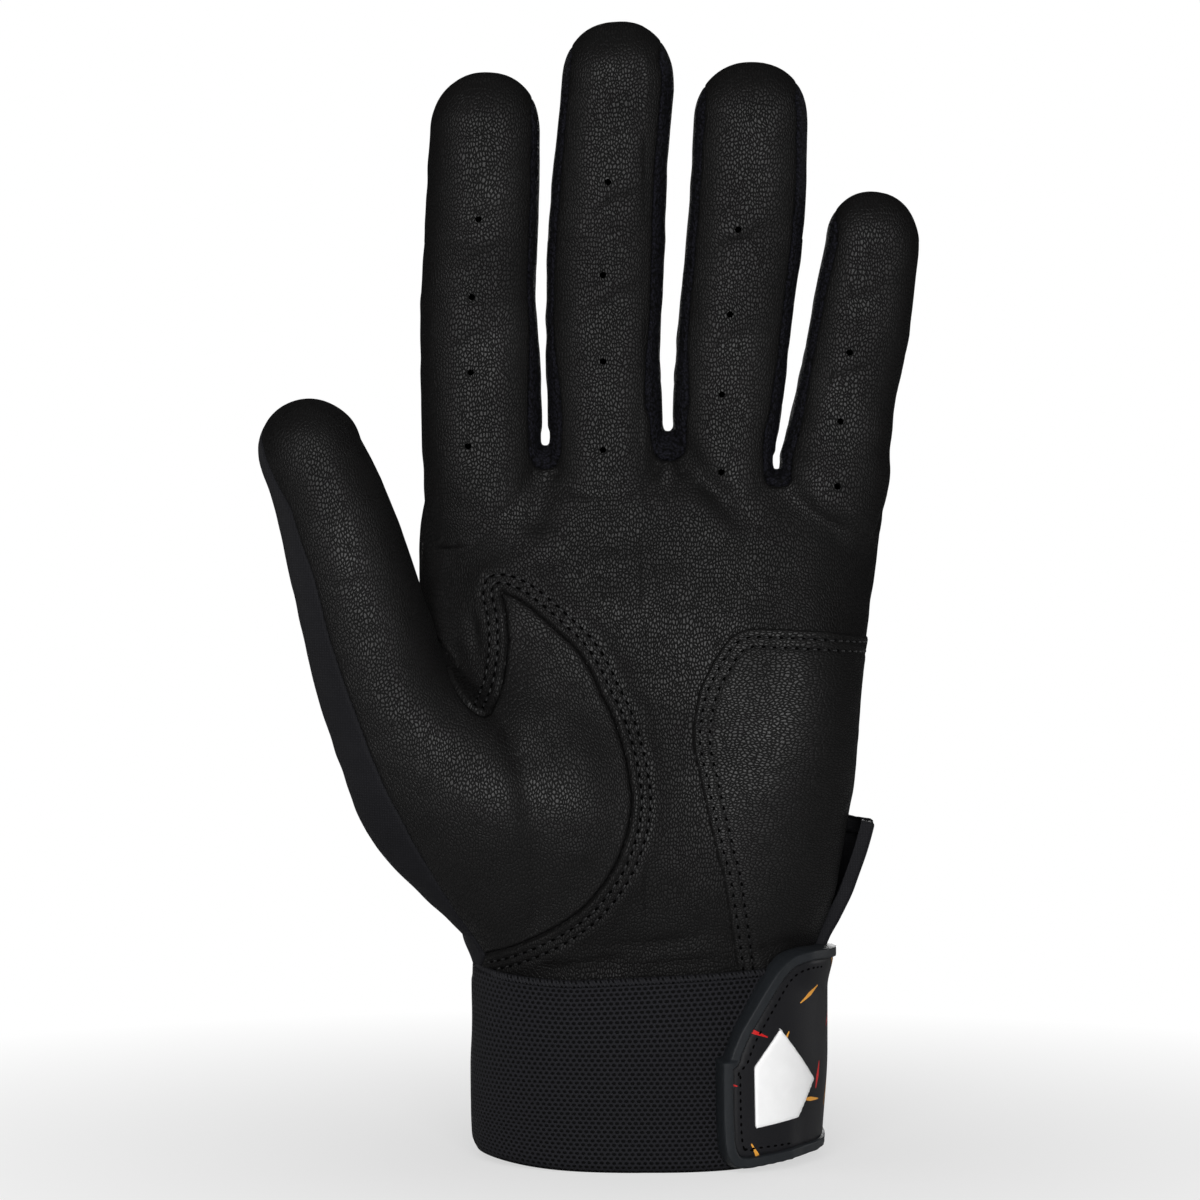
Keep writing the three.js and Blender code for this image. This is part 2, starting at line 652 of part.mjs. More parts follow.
// Wrist flap: a bound panel on the back, whose free edge stands out past the heel pad
const flapLow = SEAM + HEEL_PAD + SEAM;
function flapShell(low, high) {
  return solidFrom(palmGeometry(-high, FLAP_FLARE)).subtract(solidFrom(palmGeometry(-low, FLAP_FLARE)));
}
const flapArea = box([FLAP_END_X, FLAP_FRONT_Y, FLAP_BOTTOM], [FAR, FAR, FLAP_TOP]);
const flapInside = (margin) =>
  box(
    [FLAP_END_X - FAR, FLAP_FRONT_Y + FLAP_BINDING + margin, FLAP_BOTTOM - FAR],
    [FAR, FAR, FLAP_TOP - FLAP_BINDING - margin],
  );
const flapFace = flapShell(flapLow, flapLow + FLAP_WALL).intersect(flapArea);
piece(hand, "wrist_flap", flapFace.intersect(flapInside(SEAM)), BACK_FABRIC);
const flapEdge = flapShell(flapLow, flapLow + FLAP_WALL + BINDING_PROUD).intersect(flapArea);
piece(hand, "wrist_flap_binding", flapEdge.subtract(flapInside(0)), BINDING_RUBBER);

export default glove;
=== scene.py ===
import json
import math

import bpy
import numpy as np
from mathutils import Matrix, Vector
from mathutils.bvhtree import BVHTree
from mathutils.kdtree import KDTree

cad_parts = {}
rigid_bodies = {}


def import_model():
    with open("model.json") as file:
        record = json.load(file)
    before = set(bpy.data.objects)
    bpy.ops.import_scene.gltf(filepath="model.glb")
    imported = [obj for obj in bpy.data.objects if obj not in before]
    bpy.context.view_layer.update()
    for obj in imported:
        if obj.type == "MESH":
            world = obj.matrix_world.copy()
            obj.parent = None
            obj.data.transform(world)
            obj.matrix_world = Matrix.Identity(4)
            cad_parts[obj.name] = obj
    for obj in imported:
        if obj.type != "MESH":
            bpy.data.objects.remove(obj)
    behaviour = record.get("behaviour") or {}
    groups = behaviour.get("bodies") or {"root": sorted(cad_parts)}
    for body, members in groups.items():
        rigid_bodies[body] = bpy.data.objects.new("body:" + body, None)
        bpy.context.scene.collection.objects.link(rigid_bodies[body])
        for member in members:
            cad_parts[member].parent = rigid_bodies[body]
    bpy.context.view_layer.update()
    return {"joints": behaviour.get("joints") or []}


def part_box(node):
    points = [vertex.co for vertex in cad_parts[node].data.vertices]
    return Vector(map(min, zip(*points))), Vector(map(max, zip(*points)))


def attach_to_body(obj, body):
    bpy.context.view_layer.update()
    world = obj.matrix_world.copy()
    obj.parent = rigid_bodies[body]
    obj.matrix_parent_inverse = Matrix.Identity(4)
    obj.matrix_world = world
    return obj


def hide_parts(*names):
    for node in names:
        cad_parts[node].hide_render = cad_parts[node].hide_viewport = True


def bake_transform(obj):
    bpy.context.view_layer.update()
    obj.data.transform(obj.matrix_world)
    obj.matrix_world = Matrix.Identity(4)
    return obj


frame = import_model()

# The filled hand: the form that every leather, knit and fabric panel of the glove is sewn to.
# It is lofted from rounded sections up the palm, the thumb and the four fingers and welded into
# one skin. Heights in this file are millimetres above the top edge of the cuff.
MM = 0.001
CUFF_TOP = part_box("cuff_band")[1].z / MM
WELD_STEP = 0.5
# Sections of the palm: x of the middle, y of the side seam, height, half width, front and back depth.
PALM_ROWS = (
    (0.0, 0, -7, 31.8, 18.2, 18.6),
    (-0.3, 0, 2, 33.3, 19.0, 19.2),
    (-0.8, 0, 8, 35.0, 20.2, 19.2),
    (0.3, 0, 15, 36.8, 21.8, 18.3),
    (0.0, 0, 27, 39.7, 22.6, 17.0),
    (0.25, 0, 41, 42.05, 21.6, 16.0),
    (0.1, 0, 57, 43.3, 18.8, 15.0),
    (0.6, 0, 70, 44.4, 15.6, 13.8),
    (1.45, 0, 85, 45.65, 12.8, 12.2),
    (2.4, 0, 94, 45.8, 10.8, 10.8),
    (2.6, 0, 99, 44.0, 9.2, 9.2),
)
# Sections of each finger, from its root inside the palm to the start of its rounded tip, and the tip.
FINGER_ROWS = {
    "index": ((-31.4, 0, 86, 11.6, 9.6, 9.6), (-31.6, -0.2, 104, 11.9, 10.4, 9.8),
              (-31.7, -0.4, 112, 11.9, 10.3, 9.6), (-32.1, -1.0, 124.5, 11.8, 10.0, 9.2),
              (-32.4, -2.4, 137, 11.4, 9.7, 9.0), (-31.5, -4.9, 152, 11.0, 9.6, 8.8),
              (-30.7, -6.6, 167.4, 10.7, 9.3, 8.6)),
    "middle": ((-6.8, 0, 86, 11.6, 9.6, 9.6), (-6.9, -0.2, 104, 11.7, 10.4, 9.8),
               (-7.1, -0.4, 113, 11.5, 10.4, 9.8), (-7.4, -0.9, 124.5, 11.5, 10.2, 9.4),
               (-7.2, -2.3, 138, 11.6, 10.0, 9.2), (-6.3, -5.5, 157, 11.4, 9.8, 9.0),
               (-4.8, -7.3, 176.4, 11.2, 9.4, 8.6)),
    "ring": ((16.2, 0, 84, 10.8, 9.4, 9.4), (16.4, -0.2, 104, 10.3, 10.2, 9.6),
             (17.1, -0.4, 112, 10.9, 10.2, 9.6), (18.2, -0.9, 124.5, 11.4, 10.0, 9.2),
             (19.6, -2.4, 138, 11.4, 9.8, 9.0), (20.9, -4.9, 153, 11.5, 9.6, 8.8),
             (21.5, -6.6, 169, 11.2, 9.2, 8.4)),
    "little": ((35.0, 0, 80, 8.6, 7.6, 7.6), (38.0, -0.2, 98, 11.2, 9.6, 9.2),
               (39.2, -0.4, 106, 10.6, 9.5, 9.0), (41.2, -0.8, 118, 10.0, 9.0, 8.4),
               (43.4, -2.6, 130, 10.0, 8.7, 8.0), (45.8, -4.4, 145, 9.1, 8.3, 7.6)),
}
FINGER_TIPS = {"index": (-30.4, -7.2, 178.9), "middle": (-4.9, -7.9, 188.8), "ring": (21.4, -7.2, 180.9),
               "little": (46.5, -5.2, 155.6)}
THUMB_ROWS = (
    (-18.4, -2, 8, 14.6, 15, 14), (-22.8, -3, 16, 15.0, 17, 15), (-29.4, -5, 27, 17.7, 17.6, 15.5),
    (-38.8, -8, 40, 19.0, 16.4, 14), (-49.0, -11, 55, 13.9, 14.4, 12.6), (-53.1, -13, 67, 12.6, 13, 11.6),
    (-57.0, -14.5, 81, 12.0, 12, 10.8), (-61.3, -14.8, 95, 10.9, 11.2, 10.2),
    (-64.8, -14.2, 103, 10.2, 10.6, 9.8),
)
THUMB_TIP = (-67.5, -12.8, 113.5)
TIP_BLUNTNESS = 2.15
# A finger's section is squarer than an ellipse, as a finger with sewn-in sides is.
FINGER_ROUNDNESS = 2.9
# Between the fingers: x and height of the foot of each slit, and the height where its knit loop ends.
CROTCHES = ((-19.1, 105.8, 101.2), (5.3, 109.0, 102.6), (27.0, 100.8, 97.4))
# Each slit's foot is filled by a web: half its width, depth and height.
WEB_RADII = (3.2, 9.4, 11.0)
# Where the weld is softened besides, at the web of the thumb and in the thumb's ball: place and reach.
SOFT_PLACES = (((-36, -10, 56), (16, 22, 20)), ((-22, -22, 40), (14, 14, 16)))
# The form is this much slimmer than the glove, so that the slits stay open; the panels fill it out again.
PANEL_ROOM = 0.45


def ease(low, high, value):
    """Smooth step from 0 at low to 1 at high."""
    t = np.clip((value - low) / (high - low), 0, 1)
    return t * t * (3 - 2 * t)


def smooth_rows(rows, spacing):
    """The rows of a table with smooth rows between them, about spacing mm apart."""
    rows = np.array(rows, float)
    padded = np.vstack([2 * rows[0] - rows[1], rows, 2 * rows[-1] - rows[-2]])
    found = []
    for a, b, c, d in zip(padded, padded[1:], padded[2:], padded[3:]):
        steps = max(2, int(np.linalg.norm((c - b)[:3]) / spacing))
        t = np.linspace(0, 1, steps, endpoint=False)[:, None]
        bend = (2 * a - 5 * b + 4 * c - d) * t**2 + (3 * b - a - 3 * c + d) * t**3
        found.append(b + 0.5 * ((c - a) * t + bend))
    return np.vstack(found + [rows[-1:]])


def closed_tip(rows, tip):
    """Sections of a digit carried on over its blunt end."""
    rows = smooth_rows(rows, 1.5)
    t = np.sin(np.linspace(0, math.pi / 2, 18))[1:-1, None]
    shrink = (1 - t**TIP_BLUNTNESS) ** (1 / TIP_BLUNTNESS)
    centres = rows[-1, :3] + (np.array(tip) - rows[-1, :3]) * t
    return np.vstack([rows, np.hstack([centres, rows[-1, 3:] * shrink])])


def tube(rows, upright=False, around=72, roundness=2.2):
    """Skin of one part of the hand through its sections, closed at both ends."""
    angle = np.linspace(0, 2 * math.pi, around, endpoint=False)
    side = np.sign(np.cos(angle)) * abs(np.cos(angle)) ** (2 / roundness)
    deep = np.sign(np.sin(angle)) * abs(np.sin(angle)) ** (2 / roundness)
    run = np.gradient(rows[:, :3], axis=0)
    across = np.stack([run[:, 2], 0 * run[:, 0], -run[:, 0]], axis=1)
    if upright:
        across = np.tile([1.0, 0, 0], (len(rows), 1))
    across /= np.linalg.norm(across, axis=1, keepdims=True)
    depth = np.where(deep < 0, rows[:, 4:5], rows[:, 5:6]) * deep
    points = rows[:, None, :3] + across[:, None] * (rows[:, 3:4] * side)[..., None]
    points[..., 1] += depth
    ring = np.arange(around)
    faces = []
    for k in range(len(rows) - 1):
        a, b = k * around + ring, k * around + (ring + 1) % around
        faces += [np.stack([a, b, b + around], 1), np.stack([a, b + around, a + around], 1)]
    first, last = len(rows) * around, len(rows) * around + 1
    end = (len(rows) - 1) * around
    faces.append(np.stack([ring * 0 + first, (ring + 1) % around, ring], 1))
    faces.append(np.stack([ring * 0 + last, end + ring, end + (ring + 1) % around], 1))
    return np.vstack([points.reshape(-1, 3), rows[:1, :3], rows[-1:, :3]]), np.vstack(faces)


def joined(parts):
    """Several point and face lists as one."""
    points, faces, count = [], [], 0
    for part_points, part_faces in parts:
        points.append(part_points)
        faces.append(part_faces + count)
        count += len(part_points)
    return np.vstack(points), np.vstack(faces)


def mesh_of(name, points, faces):
    """Mesh, in metres on the shared frame, of points in mm above the cuff's top edge."""
    mesh = bpy.data.meshes.new(name)
    mesh.vertices.add(len(points))
    mesh.vertices.foreach_set("co", ((points + (0, 0, CUFF_TOP)) * MM).astype(np.float32).ravel())
    mesh.loops.add(faces.size)
    mesh.loops.foreach_set("vertex_index", faces.astype(np.int32).ravel())
    mesh.polygons.add(len(faces))
    mesh.polygons.foreach_set("loop_start", np.arange(0, faces.size, 3, dtype=np.int32))
    mesh.update(calc_edges=True)
    return mesh


def linked(name, data):
    """An object in the scene that holds the given data."""
    obj = bpy.data.objects.new(name, data)
    bpy.context.collection.objects.link(obj)
    return obj


def arrays_of(mesh):
    """Points in mm above the cuff's top edge, and triangles, of a mesh."""
    points = np.zeros(len(mesh.vertices) * 3, np.float32)
    mesh.vertices.foreach_get("co", points)
    mesh.calc_loop_triangles()
    faces = np.zeros(len(mesh.loop_triangles) * 3, np.int32)
    mesh.loop_triangles.foreach_get("vertices", faces)
    return points.reshape(-1, 3).astype(float) / MM - (0, 0, CUFF_TOP), faces.reshape(-1, 3)


def summed(index, values, count):
    """Values added up by index."""
    return np.stack([np.bincount(index, values[:, k], count) for k in range(values.shape[1])], 1)


def normals_of(points, faces):
    """Outward normal at each point."""
    a, b, c = (points[faces[:, k]] for k in range(3))
    face = np.cross(b - a, c - a)
    total = sum(summed(faces[:, k], face, len(points)) for k in range(3))
    return total / np.linalg.norm(total, axis=1, keepdims=True).clip(1e-9)


def edges_of(faces):
    """Every edge of a triangle list once, and how many triangles use it."""
    pairs = np.sort(np.vstack([faces[:, [0, 1]], faces[:, [1, 2]], faces[:, [2, 0]]]), axis=1)
    return np.unique(pairs, axis=0, return_counts=True)


def relaxed(points, faces, rounds, share=None):
    """Points smoothed towards their neighbours and back out again, so that little bulk is lost."""
    pairs, _ = edges_of(faces)
    both = np.vstack([pairs, pairs[:, ::-1]])
    degree = np.bincount(both[:, 0], minlength=len(points))[:, None].clip(1)
    for k in range(rounds * 2):
        mean = summed(both[:, 0], points[both[:, 1]], len(points)) / degree
        step = 0.6 if k % 2 == 0 or share is not None else -0.62
        points = points + (mean - points) * step * (1 if share is None else share[:, None])
    return points


digit_rows = {name: closed_tip(rows, FINGER_TIPS[name]) for name, rows in FINGER_ROWS.items()}
thumb_rows = closed_tip(THUMB_ROWS, THUMB_TIP)
palm_rows = smooth_rows(PALM_ROWS, 1.5)
for rows in (palm_rows, thumb_rows, *digit_rows.values()):
    rows[:, 3:] = (rows[:, 3:] - PANEL_ROOM).clip(0.2)
parts = [tube(palm_rows, upright=True, around=120, roundness=2.5), tube(thumb_rows)]
parts += [tube(rows, roundness=FINGER_ROUNDNESS) for rows in digit_rows.values()]
for x, foot, _ in CROTCHES:
    turn = np.linspace(0.02, math.pi - 0.02, 14)
    heights = foot - WEB_RADII[2] - WEB_RADII[2] * np.cos(turn)
    radii = (WEB_RADII[0], WEB_RADII[1], WEB_RADII[1])
    web = np.stack([x + 0 * turn, 0 * turn, heights] + [r * np.sin(turn) for r in radii], 1)
    parts.append(tube(web, around=24))
form_mesh = mesh_of("hand form", *joined(parts))
form = linked("hand form", form_mesh)
weld = form.modifiers.new("weld", "REMESH")
weld.mode = "VOXEL"
weld.voxel_size = WELD_STEP * MM
welded = bpy.data.meshes.new_from_object(form.evaluated_get(bpy.context.evaluated_depsgraph_get()))
skin, skin_faces = arrays_of(welded)
bpy.data.objects.remove(form)
bpy.data.meshes.remove(form_mesh)
bpy.data.meshes.remove(welded)
skin = relaxed(skin, skin_faces, 6)
crotch_share = np.zeros(len(skin))
for x, foot, _ in CROTCHES:
    gap = np.linalg.norm((skin - (x, 0, foot - 9)) / (9, 16, 10), axis=1)
    crotch_share = np.maximum(crotch_share, 1 - ease(0.4, 1, gap))
for place, reach in SOFT_PLACES:
    gap = np.linalg.norm((skin - place) / reach, axis=1)
    crotch_share = np.maximum(crotch_share, 1 - ease(0.3, 1, gap))
skin = relaxed(skin, skin_faces, 14, crotch_share)

# The cutting pattern: where the glove's seams run over the filled hand. The skin is cut along each
# seam, so that every panel has its own clean edge, as leather cut with a die has.
# Seams as seen from the front, x and height. The thumb's panel is bounded by an arc, a leaf and a tongue.
THUMB_ARC = ((-27.8, 76.7), (-23.9, 75.0), (-20.1, 72.1), (-16.4, 68.8), (-12.7, 65.3), (-9.9, 61.0),
             (-7.8, 56.5), (-5.9, 52.9), (-4.1, 47.8), (-3.0, 43.7), (-2.4, 40.0), (-2.0, 36.1),
             (-2.8, 30.3), (-5.3, 23.5), (-10.1, 16.7), (-16.0, 11.9), (-23.7, 8.0), (-30.5, 5.6))
LEAF_EDGE = ((-29.3, 53.0), (-27.3, 58.6), (-26.5, 63.7), (-26.3, 67.4), (-26.7, 72.5), (-27.8, 76.7))
TONGUE_EDGE = ((-39.0, 64.0), (-37.2, 59.6), (-34.9, 55.6), (-32.4, 53.2), (-30.6, 52.5), (-29.3, 53.0))
THUMB_FABRIC_SEAM = ((-29.6, 2.3), (-31.7, 6.6), (-34.8, 12.1), (-39.7, 20.0), (-45.1, 29.0), (-50.2, 39.3),
                     (-53.7, 48.2), (-57.2, 58.1), (-59.7, 65.5), (-61.6, 72.3), (-63.6, 79.9), (-65.9, 86.1),
                     (-68.0, 92.5), (-71.0, 97.9), (-72.9, 102.5), (-73.8, 106.3), (-73.3, 109), (-72.2, 111),
                     (-69.8, 112.8), (-65, 116))
HEEL_EDGE = ((50, 68.0), (44.1, 68.2), (37.3, 68.6), (30.5, 69.0), (25.3, 69.2), (21.4, 69.3), (18.7, 68.6),
             (16.5, 66.8), (13.8, 62.7), (11.3, 57.7), (10.1, 52.4), (9.7, 48.1), (10.1, 44.5), (11.1, 40.2),
             (12.2, 35.1), (13.6, 29.1), (14.6, 24.6), (15.7, 20.5), (18.1, 4.0), (19.0, -6))
# Vent holes, finger by finger.
VENTS = ((-32.0, 149.7), (-33.4, 134.6), (-33.6, 119.8), (-34.1, 105.3),
         (-6.6, 156.8), (-7.6, 138.9), (-7.6, 122.0), (-7.6, 104.5),
         (18.9, 147.7), (17.4, 131.2), (15.8, 115.5), (15.8, 100.2),
         (41.0, 123.8), (39.2, 110.2), (38.5, 97.4))
VENT_RADIUS = 0.65
# Width of each finger's knit strips as they show from the front, on its thumb side and its other side, and
# how far behind the finger's middle they end.
KNIT_WIDTH = {"index": (0, 1.3), "middle": (1.4, 2.2), "ring": (1.6, 2.1), "little": (1.5, 0)}
KNIT_BACK = 5.0
KNIT_EXTRA = (1.1, 1.1, 0.3)
LOOP_HALF_WIDTH = (3.3, 3.6, 3.1)
SIDE_SEAM_Y = 3.0
FINGERS = ("index", "middle", "ring", "little")
GUSSET_SIDES = {"index": (None, 0), "middle": (0, 1), "ring": (1, 2), "little": (2, None)}
OUTER_SEAM_Y = {"index": (3.0, 0), "middle": (0, 0), "ring": (0, 0), "little": (0, -2.6)}
# The line just above the slits on each side of a finger, where its own panels begin: x, height, x, height.
FINGER_LINES = {"index": (-43.8, 106.6, -19.1, 106.6), "middle": (-19.1, 106.6, 5.3, 109.4),
                "ring": (5.3, 109.4, 27.0, 101.8), "little": (27.0, 101.8, 50.0, 98.4)}
THUMB_LINE_RISE = 9.0
THUMB_BACK_SEAM = ((-13, -8), (-19, 30), (-30, 56))
# Where a field has no say, it holds one of these.
OFF_PANEL = -5.0
OFF_LINE = -9.0


def outline_distance(points, outline):
    """Distance in mm from 2-D points to a closed outline, positive inside it."""
    outline = np.array(outline, float)
    nearest = np.full(len(points), 1e9)
    inside = np.zeros(len(points), bool)
    for a, b in zip(outline, np.roll(outline, -1, axis=0)):
        run = b - a
        t = np.clip(((points - a) @ run) / max(run @ run, 1e-9), 0, 1)
        nearest = np.minimum(nearest, np.hypot(*(points - a - t[:, None] * run).T))
        if a[1] != b[1]:
            span = (points[:, 1] < a[1]) != (points[:, 1] < b[1])
            inside ^= span & (points[:, 0] < a[0] + (points[:, 1] - a[1]) / run[1] * run[0])
    return np.where(inside, nearest, -nearest)


def path_distance(points, path):
    """Distance in mm from 2-D points to an open path."""
    path = np.array(path, float)
    nearest = np.full(len(points), 1e9)
    for a, b in zip(path, path[1:]):
        run = b - a
        t = np.clip(((points - a) @ run) / max(run @ run, 1e-9), 0, 1)
        nearest = np.minimum(nearest, np.hypot(*(points - a - t[:, None] * run).T))
    return nearest


def smooth_path(path, spacing=0.8):
    """A path of 2-D points with smooth points between them."""
    padded = np.hstack([np.array(path, float), np.zeros((len(path), 1))])
    return smooth_rows(padded, spacing)[:, :2]


arc_path = smooth_path(THUMB_ARC)
leaf_path = smooth_path(LEAF_EDGE)
tongue_path = smooth_path(TONGUE_EDGE)
beyond_thumb = [(-36, -12), (-120, -12), (-120, TONGUE_EDGE[0][1])]
thumb_outline = np.vstack([arc_path, beyond_thumb, tongue_path, leaf_path])
heel_outline = np.vstack([smooth_path(HEEL_EDGE), [(80, -6), (80, 68)]])


def at_height(rows, column, heights):
    """A column of a section table at the given heights."""
    return np.interp(heights, rows[:, 2], rows[:, column])


def finger_of(points):
    """Which finger each point stands over or belongs to."""
    away = [abs(points[:, 0] - at_height(digit_rows[f], 0, points[:, 2].clip(86, 156))) for f in FINGERS]
    return np.argmin(away, axis=0)


def across_finger(points, which):
    """Sideways and front-to-back place of points from the middle line of their finger."""
    side, deep = np.zeros(len(points)), np.zeros(len(points))
    for k, f in enumerate(FINGERS):
        mine = which == k
        side[mine] = points[mine, 0] - at_height(digit_rows[f], 0, points[mine, 2])
        deep[mine] = points[mine, 1] - at_height(digit_rows[f], 1, points[mine, 2])
    return side, deep


def loop_field(points, crotch):
    """Above zero on the knit loop under a slit, and how high it reaches."""
    x, foot, low = CROTCHES[crotch]
    half = LOOP_HALF_WIDTH[crotch]
    top = foot + 2.2
    drop = np.minimum(points[:, 2] - top, 0) / (top - low)
    return half * (1 - (abs((points[:, 0] - x) / half) ** 3 + abs(drop) ** 3) ** (1 / 3)), top


def knit_field(points):
    """Above zero on the knit strips along the fingers and their loops under the slits."""
    which = finger_of(points)
    side, deep = across_finger(points, which)
    height = points[:, 2]
    field = np.full(len(points), OFF_PANEL)
    for k, f in enumerate(FINGERS):
        tip = ease(FINGER_TIPS[f][2] - 9, FINGER_TIPS[f][2] - 1, height)
        half = at_height(digit_rows[f], 3, height)
        for crotch, hand, width in zip(GUSSET_SIDES[f], (-1, 1), KNIT_WIDTH[f]):
            if crotch is None:
                continue
            mine = (which == k) & (side * hand > 0)
            loop, top = loop_field(points, crotch)
            shown = width + KNIT_EXTRA[crotch] * (1 - ease(top, top + 24, height))
            front = side * hand - half + shown - (shown + 1) * tip
            strip = np.minimum(front, KNIT_BACK - (KNIT_BACK + 1) * tip - deep)
            rise = ease(top - 1.5, top + 3, height)
            field[mine] = ((1 - rise) * loop + rise * strip)[mine]
    return field


def side_field(points):
    """Above zero on the back of the hand, below it on the palm side."""
    which = finger_of(points)
    side, deep = across_finger(points, which)
    finger = ease(92, 106, points[:, 2])
    seam = np.zeros(len(points))
    for k, f in enumerate(FINGERS):
        top = FINGER_TIPS[f][2]
        seam_y = np.where(side < 0, OUTER_SEAM_Y[f][0], OUTER_SEAM_Y[f][1])
        tip = ease(top - 30, top - 8, points[:, 2])
        seam = np.where(which == k, seam_y * (1 - tip) + 2 * tip, seam)
    return np.where(finger > 0, deep, points[:, 1]) - seam * finger - SIDE_SEAM_Y * (1 - finger)


def thumb_station(points):
    """How far out from the thumb's middle line each point is, as a share of the thumb's nearest section."""
    run = np.gradient(thumb_rows[:, :3], axis=0)
    run /= np.linalg.norm(run, axis=1, keepdims=True)
    station = np.zeros(len(points), int)
    for start in range(0, len(points), 20000):
        some = points[start:start + 20000, None]
        station[start:start + 20000] = np.argmin(((some - thumb_rows[None, :, :3]) ** 2).sum(2), axis=1)
    row = thumb_rows[station]
    off = points - row[:, :3]
    across = off[:, 0] * run[station, 2] - off[:, 2] * run[station, 0]
    depth = np.where(off[:, 1] < 0, row[:, 4], row[:, 5])
    return np.hypot(across / row[:, 3].clip(2), off[:, 1] / depth.clip(2))


def thumb_field(points, outline=True):
    """Above zero on the thumb's own panels; without the outline, only where the thumb stands free."""
    flat = points[:, [0, 2]]
    near = points[:, 0] < 4
    field = np.full(len(points), OFF_PANEL)
    out = thumb_station(points[near])
    low = points[near, 2].clip(-7, 99)
    depth = np.where(points[near, 1] < 0, at_height(palm_rows, 4, low), at_height(palm_rows, 5, low))
    side = (points[near, 0] - at_height(palm_rows, 0, low)) / at_height(palm_rows, 3, low)
    palm_out = np.hypot(side, points[near, 1] / depth)
    start = np.where(outline & (points[near, 1] < 0), TONGUE_EDGE[0][1] - 2, 50)
    upper = np.minimum(12 * (palm_out - out), points[near, 2] - start)
    field[near] = np.maximum(outline_distance(flat[near], thumb_outline), upper) if outline else upper
    return field


def thumb_fabric_field(points):
    """Above zero on the fabric behind the thumb."""
    seam = np.array(THUMB_FABRIC_SEAM)
    middle = np.interp(points[:, 2], thumb_rows[:, 2], thumb_rows[:, 1])
    edge = np.interp(points[:, 2], seam[:, 1], seam[:, 0])
    return np.maximum(edge - points[:, 0], points[:, 1] - middle - 5.5)


def thumb_back_field(points):
    """Above zero on the thumb's side of the seam that joins its back panel to the back of the hand."""
    seam_x = np.interp(points[:, 2], *zip(*((h, x) for x, h in THUMB_BACK_SEAM)))
    lower = np.minimum(seam_x - points[:, 0], 56 - points[:, 2])
    return np.maximum(lower, thumb_field(points, outline=False))


def heel_field(points):
    """Above zero inside the heel pad's edge."""
    in_front = points[:, 1] < SIDE_SEAM_Y + 4
    return np.where(in_front, outline_distance(points[:, [0, 2]], heel_outline), OFF_PANEL)


def finger_line_field(points):
    """Height above the line where each finger's own panels begin."""
    which = finger_of(points)
    lines = np.array([FINGER_LINES[f] for f in FINGERS])[which]
    slope = (lines[:, 3] - lines[:, 1]) / (lines[:, 2] - lines[:, 0])
    field = points[:, 2] - lines[:, 1] - (points[:, 0] - lines[:, 0]) * slope
    return np.where((points[:, 0] < -46) & (points[:, 1] < -2), OFF_LINE, field)


thumb_joint = next(j for j in frame["joints"] if j["name"] == "thumb_bend")
THUMB_HINGE = np.array(thumb_joint["pos_m"]) / MM - (0, 0, CUFF_TOP)
thumb_run = np.array(THUMB_TIP) - THUMB_ROWS[-3][:3]
thumb_run /= np.linalg.norm(thumb_run)


def thumb_line_field(points):
    """Distance up the thumb from the line where the panels of its end begin."""
    field = (points - THUMB_HINGE) @ thumb_run + THUMB_LINE_RISE
    return np.where(points[:, 0] < -43, field, OFF_LINE)


def vent_field(points):
    """Above zero inside the vent holes of the palm side."""
    flat = points[:, [0, 2]]
    gap = np.min([np.hypot(*(flat - vent).T) for vent in VENTS], axis=0)
    return np.where(points[:, 1] < -2, VENT_RADIUS - gap, OFF_PANEL)


def cut(points, faces, field):
    """The skin cut along the line where a field is zero, so that no face lies on both sides of it."""
    value = field(points)
    value[abs(value) < 0.05] = 0
    signs = np.sign(value)[faces]
    crossed = (signs.min(1) < 0) & (signs.max(1) > 0)
    signs = signs[crossed]
    total = signs.sum(1)
    lone = np.where(total == 0, np.argmin(abs(signs), 1), np.argmax(-signs * np.sign(total)[:, None], 1))
    a, b, c = faces[crossed][np.arange(len(lone))[:, None], (lone[:, None] + [0, 1, 2]) % 3].T
    on = total == 0
    ends = ((b[on], c[on]), (a[~on], b[~on]), (a[~on], c[~on]))
    pairs = np.vstack([np.stack(pair, 1) for pair in ends])
    unique, place = np.unique(np.sort(pairs, axis=1), axis=0, return_inverse=True)
    place = place.ravel() + len(points)
    one, two = value[unique[:, 0]], value[unique[:, 1]]
    t = (one / (one - two))[:, None]
    fresh = points[unique[:, 0]] * (1 - t) + points[unique[:, 1]] * t
    n_on, n_off = on.sum(), (~on).sum()
    p0, p, q = place[:n_on], place[n_on:n_on + n_off], place[n_on + n_off:]
    made = [np.stack(t, 1) for t in ((a[on], b[on], p0), (a[on], p0, c[on]), (a[~on], p, q),
                                     (p, b[~on], c[~on]), (p, c[~on], q))]
    return np.vstack([points, fresh]), np.vstack([faces[~crossed]] + made)


for field in (knit_field, thumb_field, thumb_fabric_field, thumb_back_field, side_field, finger_line_field,
              thumb_line_field, heel_field, vent_field):
    skin, skin_faces = cut(skin, skin_faces, field)
centre = skin[skin_faces].mean(axis=1)
PALM, THUMB, KNIT, FABRIC, THUMB_FABRIC, OPEN = range(6)
on_thumb = thumb_field(centre) > 0
panel = np.where(side_field(centre) > 0, FABRIC, PALM)
panel = np.where(on_thumb, np.where(thumb_fabric_field(centre) > 0, FABRIC, THUMB), panel)
panel = np.where((panel == FABRIC) & (thumb_back_field(centre) > 0), THUMB_FABRIC, panel)
panel = np.where(knit_field(centre) > 0, KNIT, panel)
panel = np.where((vent_field(centre) > 0) & (panel == PALM), OPEN, panel)
HAND, INDEX, MIDDLE, RING, LITTLE, THUMB_END = range(6)
body = np.where(finger_line_field(centre) > 0, finger_of(centre) + INDEX, HAND)
on_thumb |= panel == THUMB_FABRIC
